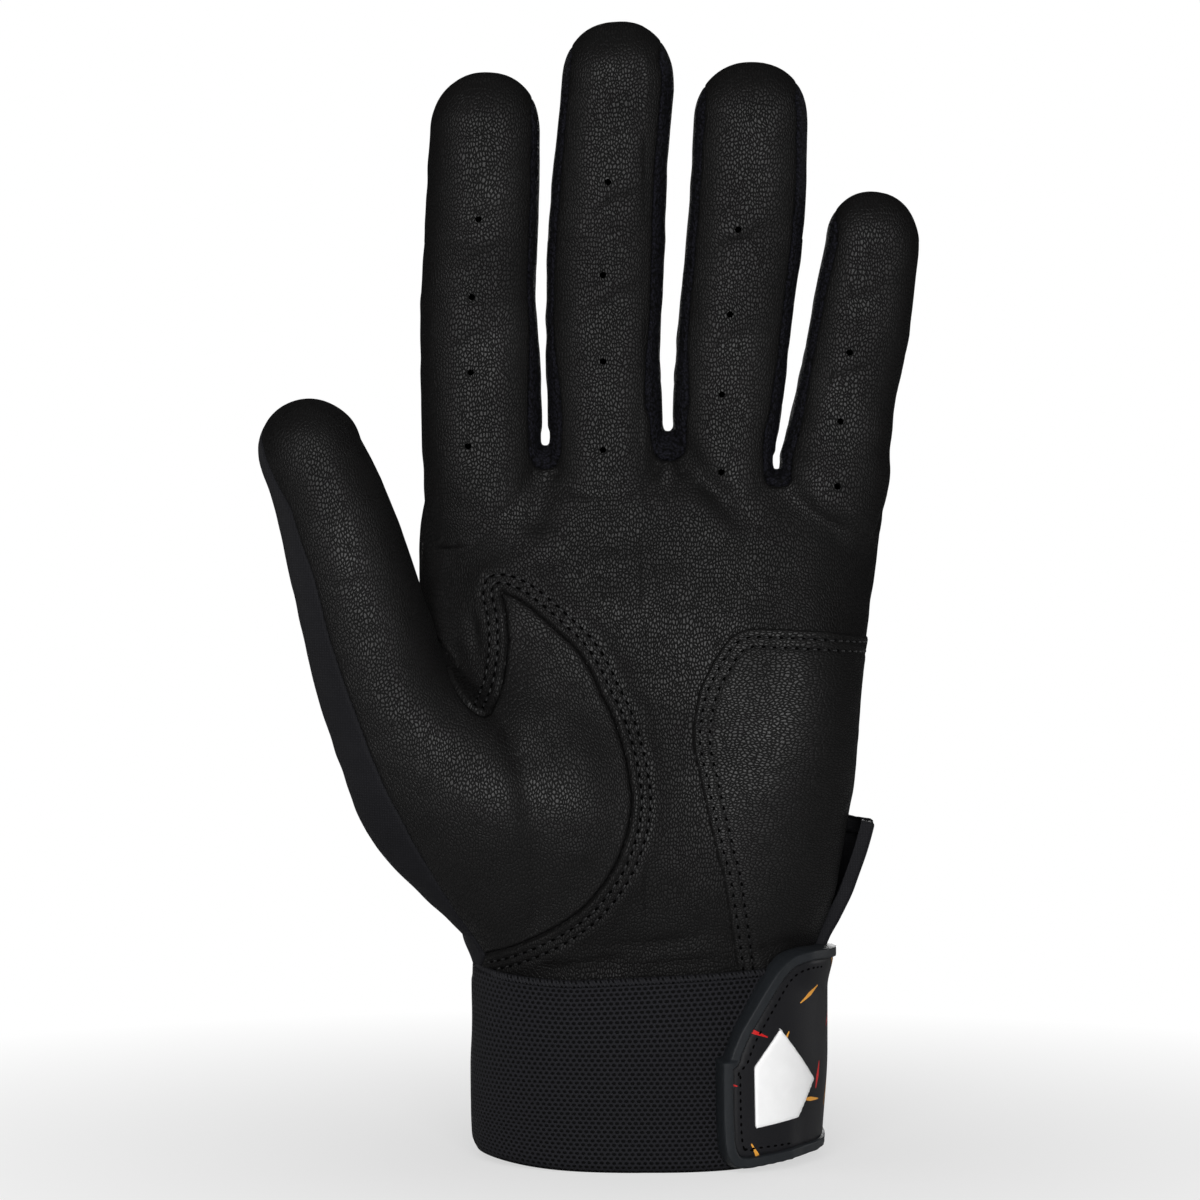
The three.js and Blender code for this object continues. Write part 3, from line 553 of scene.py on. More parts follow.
body = np.where(on_thumb, np.where(thumb_line_field(centre) > 0, THUMB_END, HAND), body)

# The form of the filled hand: the hollow of the palm, the pads at its edges, the folds that the
# leather takes at the knuckle line, the web and the wrist, and the slow waves of soft leather.
# Bulges and hollows: x, height, radius across, radius up, rise in mm on the palm side.
BULGES = (
    (4, 58, 17, 30, -1.6), (-31, 97, 11, 9, 0.7), (-7, 98, 11, 9, 0.7), (17, 95, 11, 9, 0.7),
    (38, 90, 11, 9, 0.7), (36, 58, 15, 25, 6.0), (-18, 36, 20, 16, 5.6), (-27, 52, 11, 8, 1.6),
    (-25, 41, 4.5, 13, 1.1), (0, 72, 26, 14, 2.0), (2, 10, 16, 8, -0.5),
)
# The hollow at the palm's edge under the index finger, which stops short of the thumb.
PALM_EDGE_HOLLOW = (-44, 82, 11, 12, -2.6)
# Folds: x and height of the two ends, depth and half width in mm.
FOLDS = (
    (-19.5, 101, -21, 88, 0.9, 3.2), (7.5, 106, 20, 89, 1.1, 2.8), (27.0, 98.0, 48.5, 84.8, 1.7, 2.6),
    (33.0, 97.0, 44.0, 90.0, 0.25, 0.9), (36.5, 97.6, 47.5, 90.6, 0.22, 0.9),
    (39.5, 92.4, 47.5, 87.4, 0.25, 0.8), (-9, 8.6, 10, 10.2, 0.3, 1.4), (-2, 4.8, 14, 5.6, 0.25, 1.2),
    (-20, 4.4, -4, 6.4, 0.3, 1.2), (-38, 66, -29, 56, 0.9, 2.0), (-34, 72, -30.5, 60, 0.7, 1.4),
    (-12, 150, 1, 157, 0.3, 1.4), (-13, 131, 0, 139, 0.3, 1.5), (11, 142, 25, 150, 0.35, 1.5),
    (9, 122, 22, 130, 0.3, 1.5), (-40, 140, -27, 146, 0.25, 1.5), (-42, 124, -30, 129, 0.25, 1.5),
    (33, 117, 45, 122, 0.35, 1.4), (36, 133, 48, 137, 0.25, 1.3), (-64, 90, -53, 93, 0.3, 1.6),
    (-61, 78, -47, 80, 0.3, 1.8), (20, 8, 34, 10, 0.25, 1.4), (21, 14, 36, 17, 0.25, 1.6),
)


def waves(points, size, seed):
    """Smooth random waves about size mm long, between -1 and 1."""
    lattice = np.random.default_rng(seed).uniform(-1, 1, (40, 40, 40))
    at = (points / size) % 39
    base = at.astype(int)
    t = at - base
    t = t * t * (3 - 2 * t)
    total = np.zeros(len(points))
    for corner in range(8):
        step = np.array([corner & 1, corner >> 1 & 1, corner >> 2 & 1])
        weight = np.prod(np.where(step, t, 1 - t), axis=1)
        total += weight * lattice[tuple(((base + step) % 40).T)]
    return total


skin_normal = normals_of(skin, skin_faces)
front = ease(-0.1, 0.5, -skin_normal[:, 1])
rise = np.zeros(len(skin))


def swell(x, height, wide, tall, bulge):
    """How far one bulge or hollow pushes the palm side out."""
    gap = ((skin[:, 0] - x) / wide) ** 2 + ((skin[:, 2] - height) / tall) ** 2
    return bulge * np.exp(-gap) * front


push = sum(swell(*row) for row in BULGES)
push = push + swell(*PALM_EDGE_HOLLOW) * (1 - ease(-5, 0, thumb_field(skin, outline=False)))
for x0, h0, x1, h1, deep, half in FOLDS:
    run = np.array([x1 - x0, h1 - h0])
    flat = skin[:, [0, 2]] - (x0, h0)
    t = (flat @ run) / (run @ run)
    length = np.linalg.norm(run)
    off = (flat[:, 1] * run[0] - flat[:, 0] * run[1]) / length + waves(skin, 7, 5) * 0.7
    fade = ease(-0.15, 0.25, t) * (1 - ease(0.75, 1.15, t)) * ease(0.2, 0.7, -skin_normal[:, 1])
    # A fold across the hand hangs over its lower side; one along it is a plain valley.
    across = off / half
    sag = 1.2 * across * np.exp(-abs(across)) if abs(run[0]) > abs(run[1]) else -np.exp(-(across**2))
    rise += deep * fade * sag
rise += 0.35 * waves(skin, 16, 2) + 0.16 * waves(skin * (1, 1, 1.6), 6, 3)
skin = skin + skin_normal * rise[:, None] - push[:, None] * (0, 1, 0)
skin_normal = normals_of(skin, skin_faces)


def edge_roll(distance, radius):
    """Drop of a rounded edge at a distance from it."""
    return np.sqrt(np.maximum(radius**2 - np.maximum(radius - distance, 0) ** 2, 0)) - radius


def offset_path(path, distance):
    """A 2-D path moved to its left by a distance."""
    run = np.gradient(path, axis=0)
    run /= np.linalg.norm(run, axis=1, keepdims=True).clip(1e-9)
    return path + np.stack([-run[:, 1], run[:, 0]], 1) * distance


# Rows of stitching, as seen from the front: beside the thumb's curved seam and its leaf, and inside the
# heel pad's edge. The thread draws the leather down by the sink.
SEAM_ROWS = (1.9, 3.6)
HEEL_ROWS = (1.5, 3.4)
STITCH_SINK = 0.32
SEAM_CORNER = 1.1
seam_rows = []
for offset in SEAM_ROWS:
    leaf_row, arc_row = offset_path(leaf_path, offset), offset_path(arc_path, offset)
    corner = (leaf_row[-1] + arc_row[0]) / 2 - leaf_path[-1]
    corner = leaf_path[-1] + corner / np.linalg.norm(corner) * offset * SEAM_CORNER
    turn_in = np.linspace(leaf_row[-1], corner, 6)[1:]
    turn_out = np.linspace(corner, arc_row[0], 6)[1:-1]
    seam_rows.append(np.vstack([leaf_row, turn_in, turn_out, arc_row]))
heel_rows = [offset_path(smooth_path(HEEL_EDGE), offset) for offset in HEEL_ROWS]


def drawn_down(points, rows):
    """Groove that the pulled thread draws along rows of stitching on the palm side."""
    gap = np.min([path_distance(points[:, [0, 2]], row) for row in rows], axis=0)
    return -STITCH_SINK * np.exp(-((gap / 0.6) ** 2)) * (points[:, 1] < 0)


class Panel:
    """One sewn panel: part of the skin, lifted to its own height and rounded along its edges."""

    def __init__(self, faces, lift, edge_radius):
        used, local = np.unique(faces, return_inverse=True)
        self.faces = local.reshape(-1, 3)
        self.base = skin[used]
        pairs, count = edges_of(self.faces)
        rim = np.unique(pairs[count == 1])
        rim = rim[vent_field(self.base[rim]) < -0.3]
        tree = KDTree(len(rim))
        for k in rim:
            tree.insert(self.base[k], int(k))
        tree.balance()
        edge = np.array([tree.find(p)[2] for p in self.base])
        height = self.base[:, 2]
        top = np.array([FINGER_TIPS[f][2] for f in FINGERS])[finger_of(self.base)]
        near_tip = np.where(self.base[:, 0] < -52, ease(104, 111, height), ease(top - 11, top - 4, height))
        lift = lift(self.base) + edge_roll(edge, edge_radius) * (1 - 0.8 * near_tip)
        self.outward = skin_normal[used]
        self.points = self.base + self.outward * lift[:, None]
        self.normals = normals_of(self.points, self.faces)
        astray = (self.normals * self.outward).sum(axis=1) < 0.3
        self.normals[astray] = self.outward[astray]


def piece_of(name, points, faces, material, weave=None, smooth=True):
    """A finished piece from its points in mm and its triangles, with each point's place on the cloth."""
    mesh = mesh_of(name, points, faces)
    mesh.polygons.foreach_set("use_smooth", np.full(len(faces), smooth))
    if weave is not None:
        uv = weave[faces.ravel()].astype(np.float32)
        mesh.uv_layers.new(name="weave").data.foreach_set("uv", uv.ravel())
    mesh.materials.append(material)
    return linked(name, mesh)


def shell(name, panel, chosen, thickness, material, weave=None):
    """Closed piece of a panel: its outer face, its inner face and the rim between them."""
    faces = panel.faces[chosen]
    used, local = np.unique(faces, return_inverse=True)
    outer = local.reshape(-1, 3)
    points, normals, outward = panel.points[used], panel.normals[used], panel.outward[used]
    n = len(points)
    directed = np.vstack([outer[:, [0, 1]], outer[:, [1, 2]], outer[:, [2, 0]]])
    _, place, count = np.unique(np.sort(directed, axis=1), axis=0, return_index=True, return_counts=True)
    a, b = directed[place[count == 1]].T
    rim = np.vstack([np.stack([b, a, a + n], 1), np.stack([b, a + n, b + n], 1)])
    faces = np.vstack([outer, outer[:, ::-1] + n, rim])
    smooth = np.arange(len(faces)) < 2 * len(outer)
    laid = None if weave is None else np.vstack([weave(panel.base[used])] * 2)
    obj = piece_of(name, np.vstack([points, points - outward * thickness]), faces, material, laid, smooth)
    custom = np.zeros((faces.size, 3))
    custom[:outer.size] = normals[outer.ravel()]
    obj.data.normals_split_custom_set(custom.tolist())
    return obj


def attach(piece, nodes=(), body="hand", fold=None):
    """Fixes a piece to a body, or keeps it unparented in the shared frame where a fold is given, in place of
    the solids named.
    """
    if fold is None:
        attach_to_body(piece, body)
    else:
        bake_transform(piece)
    if nodes:
        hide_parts(*nodes)


# Palm leather: one piece of soft black goatskin that runs up the fronts of the fingers, with die-cut
# vent holes. It is tumbled, so it has a fine pebble grain and a low sheen on the tops of the grain.
PALM_THICKNESS = 0.9
PALM_LIFT = 0.6
ARC_LIFT = 0.35
# Length above a finger's line of the span given as its turn.
FINGER_FOLD = 16


def colour(code):
    """An sRGB hex colour as linear RGBA."""
    channels = [int(code[k:k + 2], 16) / 255 for k in (1, 3, 5)]
    return tuple(c / 12.92 if c <= 0.04045 else ((c + 0.055) / 1.055) ** 2.4 for c in channels) + (1.0,)


def add(tree, kind, inputs=None, **settings):
    """A node with its settings, its set values and its links."""
    node = tree.nodes.new(kind)
    for name, value in settings.items():
        setattr(node, name, value)
    for name, value in (inputs or {}).items():
        if isinstance(value, bpy.types.NodeSocket):
            tree.links.new(value, node.inputs[name])
        else:
            node.inputs[name].default_value = value
    return node


def finish(name, roughness=0.5, shine=0.5):
    """A material of one roughness and specular level, its node tree and its surface."""
    material = bpy.data.materials.new(name)
    material.use_nodes = True
    surface = material.node_tree.nodes["Principled BSDF"]
    surface.inputs["Roughness"].default_value = roughness
    surface.inputs["Specular IOR Level"].default_value = shine
    return material, material.node_tree, surface


def coloured(tree, surface, pattern, dark, light, height=None, strength=1.0, depth=0.1, **settings):
    """Colours a surface between two colours by a pattern and embosses a height on it, to a depth in mm."""
    dark, light = (colour(shade) if isinstance(shade, str) else shade for shade in (dark, light))
    colour_mix = add(tree, "ShaderNodeMix", {"Factor": pattern, 6: dark, 7: light}, data_type="RGBA")
    tree.links.new(colour_mix.outputs[2], surface.inputs["Base Color"])
    if height is not None:
        relief = {"Height": height, "Strength": strength, "Distance": depth * MM}
        bump = add(tree, "ShaderNodeBump", relief, **settings)
        tree.links.new(bump.outputs["Normal"], surface.inputs["Normal"])


# Pebbles of the grain in mm: width, length against width, and height. The rows wander by the drift.
GRAIN = 0.54
GRAIN_STRETCH = 1.65
GRAIN_HEIGHT = 0.07
GRAIN_DRIFT = 1.8


def unrolled(side, deep, depth):
    """How much longer the way round a finger or the palm's edge is than its width seen from the front."""
    drop = (depth + deep).clip(0)
    return np.sign(side) * 0.57 * drop * (drop / depth.clip(1)) ** 0.6


def palm_grain(points):
    """Place on the palm leather in mm: across it, unrolled round the fingers and the palm's edges, and up."""
    which = finger_of(points)
    side, deep = across_finger(points, which)
    height = points[:, 2]
    depth = np.select([which == k for k in range(4)], [at_height(digit_rows[f], 4, height) for f in FINGERS])
    on_finger = unrolled(side, deep, depth)
    middle, front_depth = at_height(palm_rows, 0, height), at_height(palm_rows, 4, height)
    on_palm = unrolled(points[:, 0] - middle, points[:, 1], front_depth)
    share = ease(95, 112, height)
    return np.stack([points[:, 0] + on_palm * (1 - share) + on_finger * share, height], 1)


def thumb_grain(points):
    """Place on the thumb leather in mm: across it, unrolled round the thumb, and up it."""
    middle_x, middle_y, depth = (at_height(thumb_rows, column, points[:, 2]) for column in (0, 1, 4))
    around = unrolled(points[:, 0] - middle_x, points[:, 1] - middle_y, depth)
    return np.stack([points[:, 0] + around, points[:, 2]], 1)


def goatskin(name, lean, stretch, shine=0.185):
    """Tumbled goatskin whose grain leans and is stretched one way: satin pebbles, with painted shade
    darkening the hollows between.
    """
    # The pebbles are about 0.5 by 0.9 mm, in wandering rows, drawn a little coarser so that they show.
    material, tree, surface = finish(name, shine=shine)
    place = add(tree, "ShaderNodeTexCoord").outputs["Object"]
    weave = add(tree, "ShaderNodeUVMap", uv_map="weave").outputs["UV"]
    drift = add(tree, "ShaderNodeTexNoise", {"Vector": weave, "Scale": 1 / 9, "Detail": 1.0},
                noise_dimensions="2D")
    wander = {0: drift.outputs["Color"], 1: (GRAIN_DRIFT, GRAIN_DRIFT, 0.0), 2: weave}
    moved = add(tree, "ShaderNodeVectorMath", wander, operation="MULTIPLY_ADD")
    turned = {"Vector": moved.outputs["Vector"], "Rotation": (0, 0, math.radians(lean)), "Scale": stretch}
    laid = add(tree, "ShaderNodeMapping", turned)
    cells = {"Vector": laid.outputs["Vector"], "Scale": 1 / GRAIN, "Randomness": 0.97}
    pebble = add(tree, "ShaderNodeTexVoronoi", cells, voronoi_dimensions="2D", feature="DISTANCE_TO_EDGE")
    pebble = add(tree, "ShaderNodeMapRange", {"Value": pebble.outputs["Distance"], "From Max": 0.3},
                 interpolation_type="SMOOTHSTEP")
    broad = add(tree, "ShaderNodeTexNoise", {"Vector": place, "Scale": 1 / (14 * MM), "Detail": 3.0})
    # Painted shade: the hollows between the pebbles are coloured darker than their tops, over a random broad
    # mottle; the same tone makes the hollows rougher.
    mottle_and_groove_shade = add(tree, "ShaderNodeMath", {0: broad.outputs["Fac"], 1: 0.6, 2: pebble.outputs["Result"]},
               operation="MULTIPLY_ADD")
    tone = add(tree, "ShaderNodeMapRange", {"Value": mottle_and_groove_shade.outputs[0], "From Min": 0.2, "From Max": 1.4})
    gloss = add(tree, "ShaderNodeMapRange", {"Value": tone.outputs["Result"], "To Min": 0.95, "To Max": 0.38})
    tree.links.new(gloss.outputs["Result"], surface.inputs["Roughness"])
    coloured(tree, surface, tone.outputs["Result"], "#010101", "#0c0b0b", pebble.outputs["Result"],
         depth=GRAIN_HEIGHT)
    return material


leather = goatskin("tumbled goatskin, grain up", 0, (1, 1 / GRAIN_STRETCH, 1))
sewn_edge = np.vstack([leaf_path, arc_path])


def palm_lift(points):
    """Height of the palm leather: it lies over the thumb leather along their curved seam."""
    flat = points[:, [0, 2]]
    over = (1 - ease(3.0, 8.0, path_distance(flat, sewn_edge))) * (points[:, 1] < 0)
    under = ease(0.5, 2.0, outline_distance(flat, heel_outline)) * (points[:, 1] < 0)
    return PALM_LIFT + ARC_LIFT * over - 0.3 * under + drawn_down(points, seam_rows)


palm_panel = Panel(skin_faces[panel == PALM], palm_lift, 0.8)
palm_bodies = body[panel == PALM]
palm = shell("palm-leather", palm_panel, palm_bodies == HAND, PALM_THICKNESS, leather, palm_grain)
attach(palm, ["palm_leather"])
finger_turn = {}
for k, finger in enumerate(FINGERS):
    x0, h0, x1, h1 = FINGER_LINES[finger]
    up = np.array([h0 - h1, 0, x1 - x0]) / math.hypot(x1 - x0, h1 - h0)
    start = np.array([(x0 + x1) / 2, 0, (h0 + h1) / 2 + CUFF_TOP]) * MM
    finger_turn[finger] = (start, start + up * FINGER_FOLD * MM)
    mine = palm_bodies == INDEX + k
    piece = shell(finger + "-finger-front", palm_panel, mine, PALM_THICKNESS, leather, palm_grain)
    attach(piece, [finger + "_front", finger + "_crease"], finger + "_finger",
           finger_turn[finger])

# Thumb leather: the second piece of goatskin, which wraps the front of the thumb and is set into the
# palm leather with a curved, twice-stitched lap seam.
lapped_edge = np.vstack([tongue_path, leaf_path, arc_path])


def thumb_lift(points):
    """Height of the thumb leather: flush on the thumb, lower where the palm leather laps over it."""
    return 0.1 + 0.35 * ease(2, 9, path_distance(points[:, [0, 2]], lapped_edge))


thumb_panel = Panel(skin_faces[panel == THUMB], thumb_lift, 0.6)
thumb_bodies = body[panel == THUMB]
thumb_hide = goatskin("tumbled goatskin, grain along the thumb", -20, (1, 1 / GRAIN_STRETCH, 1), 0.225)
piece = shell("thumb-leather", thumb_panel, thumb_bodies == HAND, PALM_THICKNESS, thumb_hide, thumb_grain)
attach(piece, ["thumb_leather"])
thumb_turn = [(THUMB_HINGE + way * thumb_run * THUMB_LINE_RISE + (0, 0, CUFF_TOP)) * MM for way in (-1, 1)]
at_end = thumb_bodies == THUMB_END
piece = shell("thumb-tip-front", thumb_panel, at_end, PALM_THICKNESS, thumb_hide, thumb_grain)
attach(piece, ["thumb_tip_front", "thumb_crease"], "thumb_end", thumb_turn)

# Heel pad: a second layer of the same goatskin on the little-finger side of the palm, sewn down with
# two rows of thread along its edge. It wraps to the side seam.
HEEL_THICKNESS = 1.0
HEEL_SKIVE = 0.6
in_heel = (heel_field(centre) > 0) & (panel == PALM)
cross_leather = goatskin("tumbled goatskin, grain across", 8, (1 / GRAIN_STRETCH, 1, 1), 0.235)


def heel_lift(points):
    """Height of the heel pad: a layer on the palm, skived thin towards the side seam."""
    layer = HEEL_THICKNESS * (1 - HEEL_SKIVE * ease(36, 43, points[:, 0]))
    return PALM_LIFT + layer + drawn_down(points, heel_rows)


heel_panel = Panel(skin_faces[in_heel], heel_lift, 1.0)
heel = shell("heel-pad", heel_panel, slice(None), HEEL_THICKNESS + 0.1, cross_leather, palm_grain)
attach(heel, ["heel_pad"])

# Fourchettes: strips of black crimped knit along the sides of the fingers, which loop under each slit.
# They are cut from stretch knit and sewn between the finger fronts and backs, a little sunk.
KNIT_THICKNESS = 0.8
KNIT_CURL = 0.6
KNIT_RELIEF = 0.45
# Crimped knit: tight loops of curled yarn about 0.6 mm across, dull, blue-black, with painted shade darkening
# the gaps between the loops.
crimped, tree, surface = finish("crimped stretch knit", 0.85, 0.1)
place = add(tree, "ShaderNodeTexCoord").outputs["Object"]
curl = add(tree, "ShaderNodeTexVoronoi", {"Vector": place, "Scale": 1 / (KNIT_CURL * MM)})
# Painted shade: the colour darkens away from each loop's middle, where the bump sinks it.
tone = add(tree, "ShaderNodeMapRange", {"Value": curl.outputs["Distance"], "From Min": 0.75, "From Max": 0.1})
coloured(tree, surface, tone.outputs["Result"], "#010102", "#17171e", curl.outputs["Distance"], depth=KNIT_RELIEF,
     invert=True)


def knit_lift(points):
    """Height of the knit: a padded band, folded in along the middle of each loop."""
    tops = np.array([FINGER_TIPS[f][2] for f in FINGERS])[finger_of(points)]
    lift = 0.35 + 0.2 * ease(tops - 12, tops - 5, points[:, 2])
    for crotch, half in enumerate(LOOP_HALF_WIDTH):
        loop, top = loop_field(points, crotch)
        lift -= 1.3 * ease(half - 1.3, half - 0.5, loop) * (1 - ease(top - 1, top + 2, points[:, 2]))
    return lift


knit_panel = Panel(skin_faces[panel == KNIT], knit_lift, 0.9)
knit_bodies, knit_centre = body[panel == KNIT], centre[panel == KNIT]
loop_x = [x for x, _, _ in CROTCHES]
nearest_loop = np.argmin([abs(knit_centre[:, 0] - x) for x in loop_x], axis=0)
LOOPS = ("index_middle", "middle_ring", "ring_little")
for k, name in enumerate(LOOPS):
    chosen = (knit_bodies == HAND) & (nearest_loop == k)
    piece = shell(name.replace("_", "-") + "-fourchette", knit_panel, chosen, KNIT_THICKNESS, crimped)
    attach(piece, [name + "_fourchette"])
finger_side, _ = across_finger(knit_centre, finger_of(knit_centre))
GUSSETS = (("index", 1, "outer"), ("middle", -1, "inner"), ("middle", 1, "outer"), ("ring", -1, "inner"),
           ("ring", 1, "outer"), ("little", -1, "inner"))
for finger, hand, name in GUSSETS:
    chosen = (knit_bodies == INDEX + FINGERS.index(finger)) & (finger_side * hand > 0)
    piece = shell(f"{finger}-{name}-gusset", knit_panel, chosen, KNIT_THICKNESS, crimped)
    attach(piece, [f"{finger}_{name}_gusset"], finger + "_finger", finger_turn[finger])

# Back of the hand, backs of the fingers and back of the thumb: black stretch fabric, smooth and dull,
# cut in panels and sewn to the leather edge to edge, so that each seam lies in a shallow groove.
FABRIC_THICKNESS = 0.8
FABRIC_THREAD = 0.5
# Stretch fabric: a weave of 0.5 mm threads, drawn as coarse as it needs to show, with little gloss, and with
# painted shade darkening the gaps between the threads over a random broad mottle.
stretch, tree, surface = finish("woven stretch fabric", 0.7, 0.06)
place = add(tree, "ShaderNodeTexCoord").outputs["Object"]
bands = {"Vector": place, "Scale": math.pi / 10 / (FABRIC_THREAD * MM), "Distortion": 0.4}
warp = add(tree, "ShaderNodeTexWave", bands, bands_direction="X")
weft = add(tree, "ShaderNodeTexWave", bands, bands_direction="Z")
height = add(tree, "ShaderNodeMath", {0: warp.outputs["Fac"], 1: weft.outputs["Fac"]}, operation="MULTIPLY")
broad = add(tree, "ShaderNodeTexNoise", {"Vector": place, "Scale": 1 / (18 * MM), "Detail": 2.0})
# Painted shade: darker where the weave sinks between the threads, added to a random mottle.
mottle_and_weave_shade = {0: broad.outputs["Fac"], 1: 0.5, 2: height.outputs[0]}
tone = add(tree, "ShaderNodeMath", mottle_and_weave_shade, operation="MULTIPLY_ADD")
tone = add(tree, "ShaderNodeMapRange", {"Value": tone.outputs[0], "From Max": 1.3})
coloured(tree, surface, tone.outputs["Result"], "#111113", "#1e1e21", height.outputs[0], 0.35, 0.1)


def flush(points):
    """Height of the fabric: as far out as the glove's outline."""
    return np.full(len(points), PANEL_ROOM)


back_panel = Panel(skin_faces[panel == FABRIC], flush, 0.5)
back_bodies = body[panel == FABRIC]
back = shell("back-panel", back_panel, back_bodies == HAND, FABRIC_THICKNESS, stretch)
attach(back, ["back_panel"])
for k, finger in enumerate(FINGERS):
    piece = shell(finger + "-finger-back", back_panel, back_bodies == INDEX + k, FABRIC_THICKNESS, stretch)
    attach(piece, [finger + "_back"], finger + "_finger", finger_turn[finger])
thumb_back_panel = Panel(skin_faces[panel == THUMB_FABRIC], flush, 0.5)
thumb_back_bodies = body[panel == THUMB_FABRIC]
piece = shell("thumb-back-panel", thumb_back_panel, thumb_back_bodies == HAND, FABRIC_THICKNESS, stretch)
attach(piece, ["thumb_back_panel"])
piece = shell("thumb-tip-back", thumb_back_panel, thumb_back_bodies == THUMB_END, FABRIC_THICKNESS, stretch)
attach(piece, ["thumb_tip_back"], "thumb_end", thumb_turn)

# Stitching of the palm: two rows of black polyester thread beside the curved thumb seam and its leaf,
# and two rows round the heel pad. Lockstitch, pulled down into the leather.
STITCH_PITCH = 2.15
STITCH_LENGTH = 1.5
THREAD_WIDTH = 0.58
HOLE_LENGTH = 1.3
HOLE_WIDTH = 0.6
# Polyester thread: a tight twist with a slight gloss, a shade darker than the leather around it.
thread, tree, surface = finish("twisted polyester thread", 0.55, 0.3)
place = add(tree, "ShaderNodeTexCoord").outputs["Object"]
twist = add(tree, "ShaderNodeTexNoise", {"Vector": place, "Scale": 1 / (0.25 * MM), "Detail": 1.0})
coloured(tree, surface, twist.outputs["Fac"], "#0a0a0b", "#181819")
# Needle holes: dark beads between two stitches, painted shade standing for the pits where the thread goes
# down through the leather. The strap's black thread uses the same near-black material.
hole_shade_and_black_thread, tree, surface = finish("painted needle-hole shade and black thread", 1.0, 0.0)
place = add(tree, "ShaderNodeTexCoord").outputs["Object"]
depth = add(tree, "ShaderNodeTexNoise", {"Vector": place, "Scale": 1 / (0.5 * MM)})
coloured(tree, surface, depth.outputs["Fac"], "#010101", "#070707")


def thread_tree():
    """Geometry Nodes: a thread laid as separate stitches along every edge path of the input mesh."""
    group = bpy.data.node_groups.new("sewn thread", "GeometryNodeTree")
    face = group.interface
    for label, kind in (("Path", "Geometry"), ("Pitch", "Float"), ("Stitch Length", "Float"),
                        ("Thread Width", "Float"), ("Slant", "Float"), ("Thread", "Material")):
        face.new_socket(label, in_out="INPUT", socket_type="NodeSocket" + kind)
    face.new_socket("Stitches", in_out="OUTPUT", socket_type="NodeSocketGeometry")
    given = add(group, "NodeGroupInput").outputs
    curve = add(group, "GeometryNodeMeshToCurve", {"Mesh": given["Path"]})
    points = add(group, "GeometryNodeResampleCurve", {"Curve": curve.outputs[0], "Length": given["Pitch"]},
                 mode="LENGTH")
    bead = add(group, "GeometryNodeMeshUVSphere", {"Segments": 8, "Rings": 6, "Radius": 0.5})
    sides = {0: given["Stitch Length"], 1: given["Thread Width"], 2: given["Thread Width"]}
    size = add(group, "ShaderNodeCombineXYZ", sides)
    along = add(group, "GeometryNodeInputTangent")
    up = add(group, "GeometryNodeInputNamedAttribute", {"Name": "up"}, data_type="FLOAT_VECTOR")
    turn = add(group, "FunctionNodeAlignRotationToVector", {"Vector": along.outputs[0]}, axis="X")
    upright = {"Rotation": turn.outputs[0], "Vector": up.outputs[0]}
    turn = add(group, "FunctionNodeAlignRotationToVector", upright, axis="Z", pivot_axis="X")
    slant = add(group, "FunctionNodeAxisAngleToRotation", {"Axis": (0, 0, 1), "Angle": given["Slant"]})
    slanted = {"Rotation": turn.outputs[0], "Rotate By": slant.outputs[0]}
    turn = add(group, "FunctionNodeRotateRotation", slanted, rotation_space="LOCAL")
    beads = {"Points": points.outputs[0], "Instance": bead.outputs[0], "Rotation": turn.outputs[0],
             "Scale": size.outputs[0]}
    laid = add(group, "GeometryNodeInstanceOnPoints", beads)
    real = add(group, "GeometryNodeRealizeInstances", {"Geometry": laid.outputs[0]})
    dressed = add(group, "GeometryNodeSetMaterial",
                  {"Geometry": real.outputs[0], "Material": given["Thread"]})
    add(group, "NodeGroupOutput", {"Stitches": dressed.outputs[0]})
    return group


sewn_thread = thread_tree()


def sewn(name, runs, pitch, length, width, slant=0.0, material=thread):
    """Stitches along runs of points in mm, each with the direction away from the surface at it."""
    mesh = bpy.data.meshes.new(name)
    points = np.vstack([run[0] for run in runs]) + (0, 0, CUFF_TOP)
    starts = np.cumsum([0] + [len(run[0]) for run in runs])
    edges = [(k, k + 1) for a, b in zip(starts, starts[1:]) for k in range(a, b - 1)]
    mesh.from_pydata((points * MM).tolist(), edges, [])
    up = mesh.attributes.new("up", "FLOAT_VECTOR", "POINT")
    up.data.foreach_set("vector", np.vstack([run[1] for run in runs]).astype(np.float32).ravel())
    source = linked(name + " path", mesh)
    sewing = source.modifiers.new("sewing", "NODES")
    sewing.node_group = sewn_thread
    values = {"Pitch": pitch * MM, "Stitch Length": length * MM, "Thread Width": width * MM, "Slant": slant,
              "Thread": material}
    for item in sewn_thread.interface.items_tree:
        if item.name in values:
            sewing[item.identifier] = values[item.name]
    made = bpy.data.meshes.new_from_object(source.evaluated_get(bpy.context.evaluated_depsgraph_get()))
    source.modifiers.remove(sewing)
    bpy.data.objects.remove(source)
    made.polygons.foreach_set("use_smooth", np.ones(len(made.polygons), bool))
    return linked(name, made)


def laid_on(panel, path, sink=0.1):
    """A front-view path laid on the outside of a panel, with the panel's normals, in unbroken runs."""
    tree = BVHTree.FromPolygons(panel.points.tolist(), panel.faces.tolist())
    runs, points, normals = [], [], []
    for x, height in path:
        place, normal, _, _ = tree.ray_cast(Vector((x, -150, height)), Vector((0, 1, 0)))
        if place is None:
            runs.append((points, normals))
            points, normals = [], []
        else:
            points.append(np.array(place) - np.array(normal) * sink)
            normals.append(np.array(normal))
    runs.append((points, normals))
    return [(np.array(p), np.array(n)) for p, n in runs if len(p) > 3]


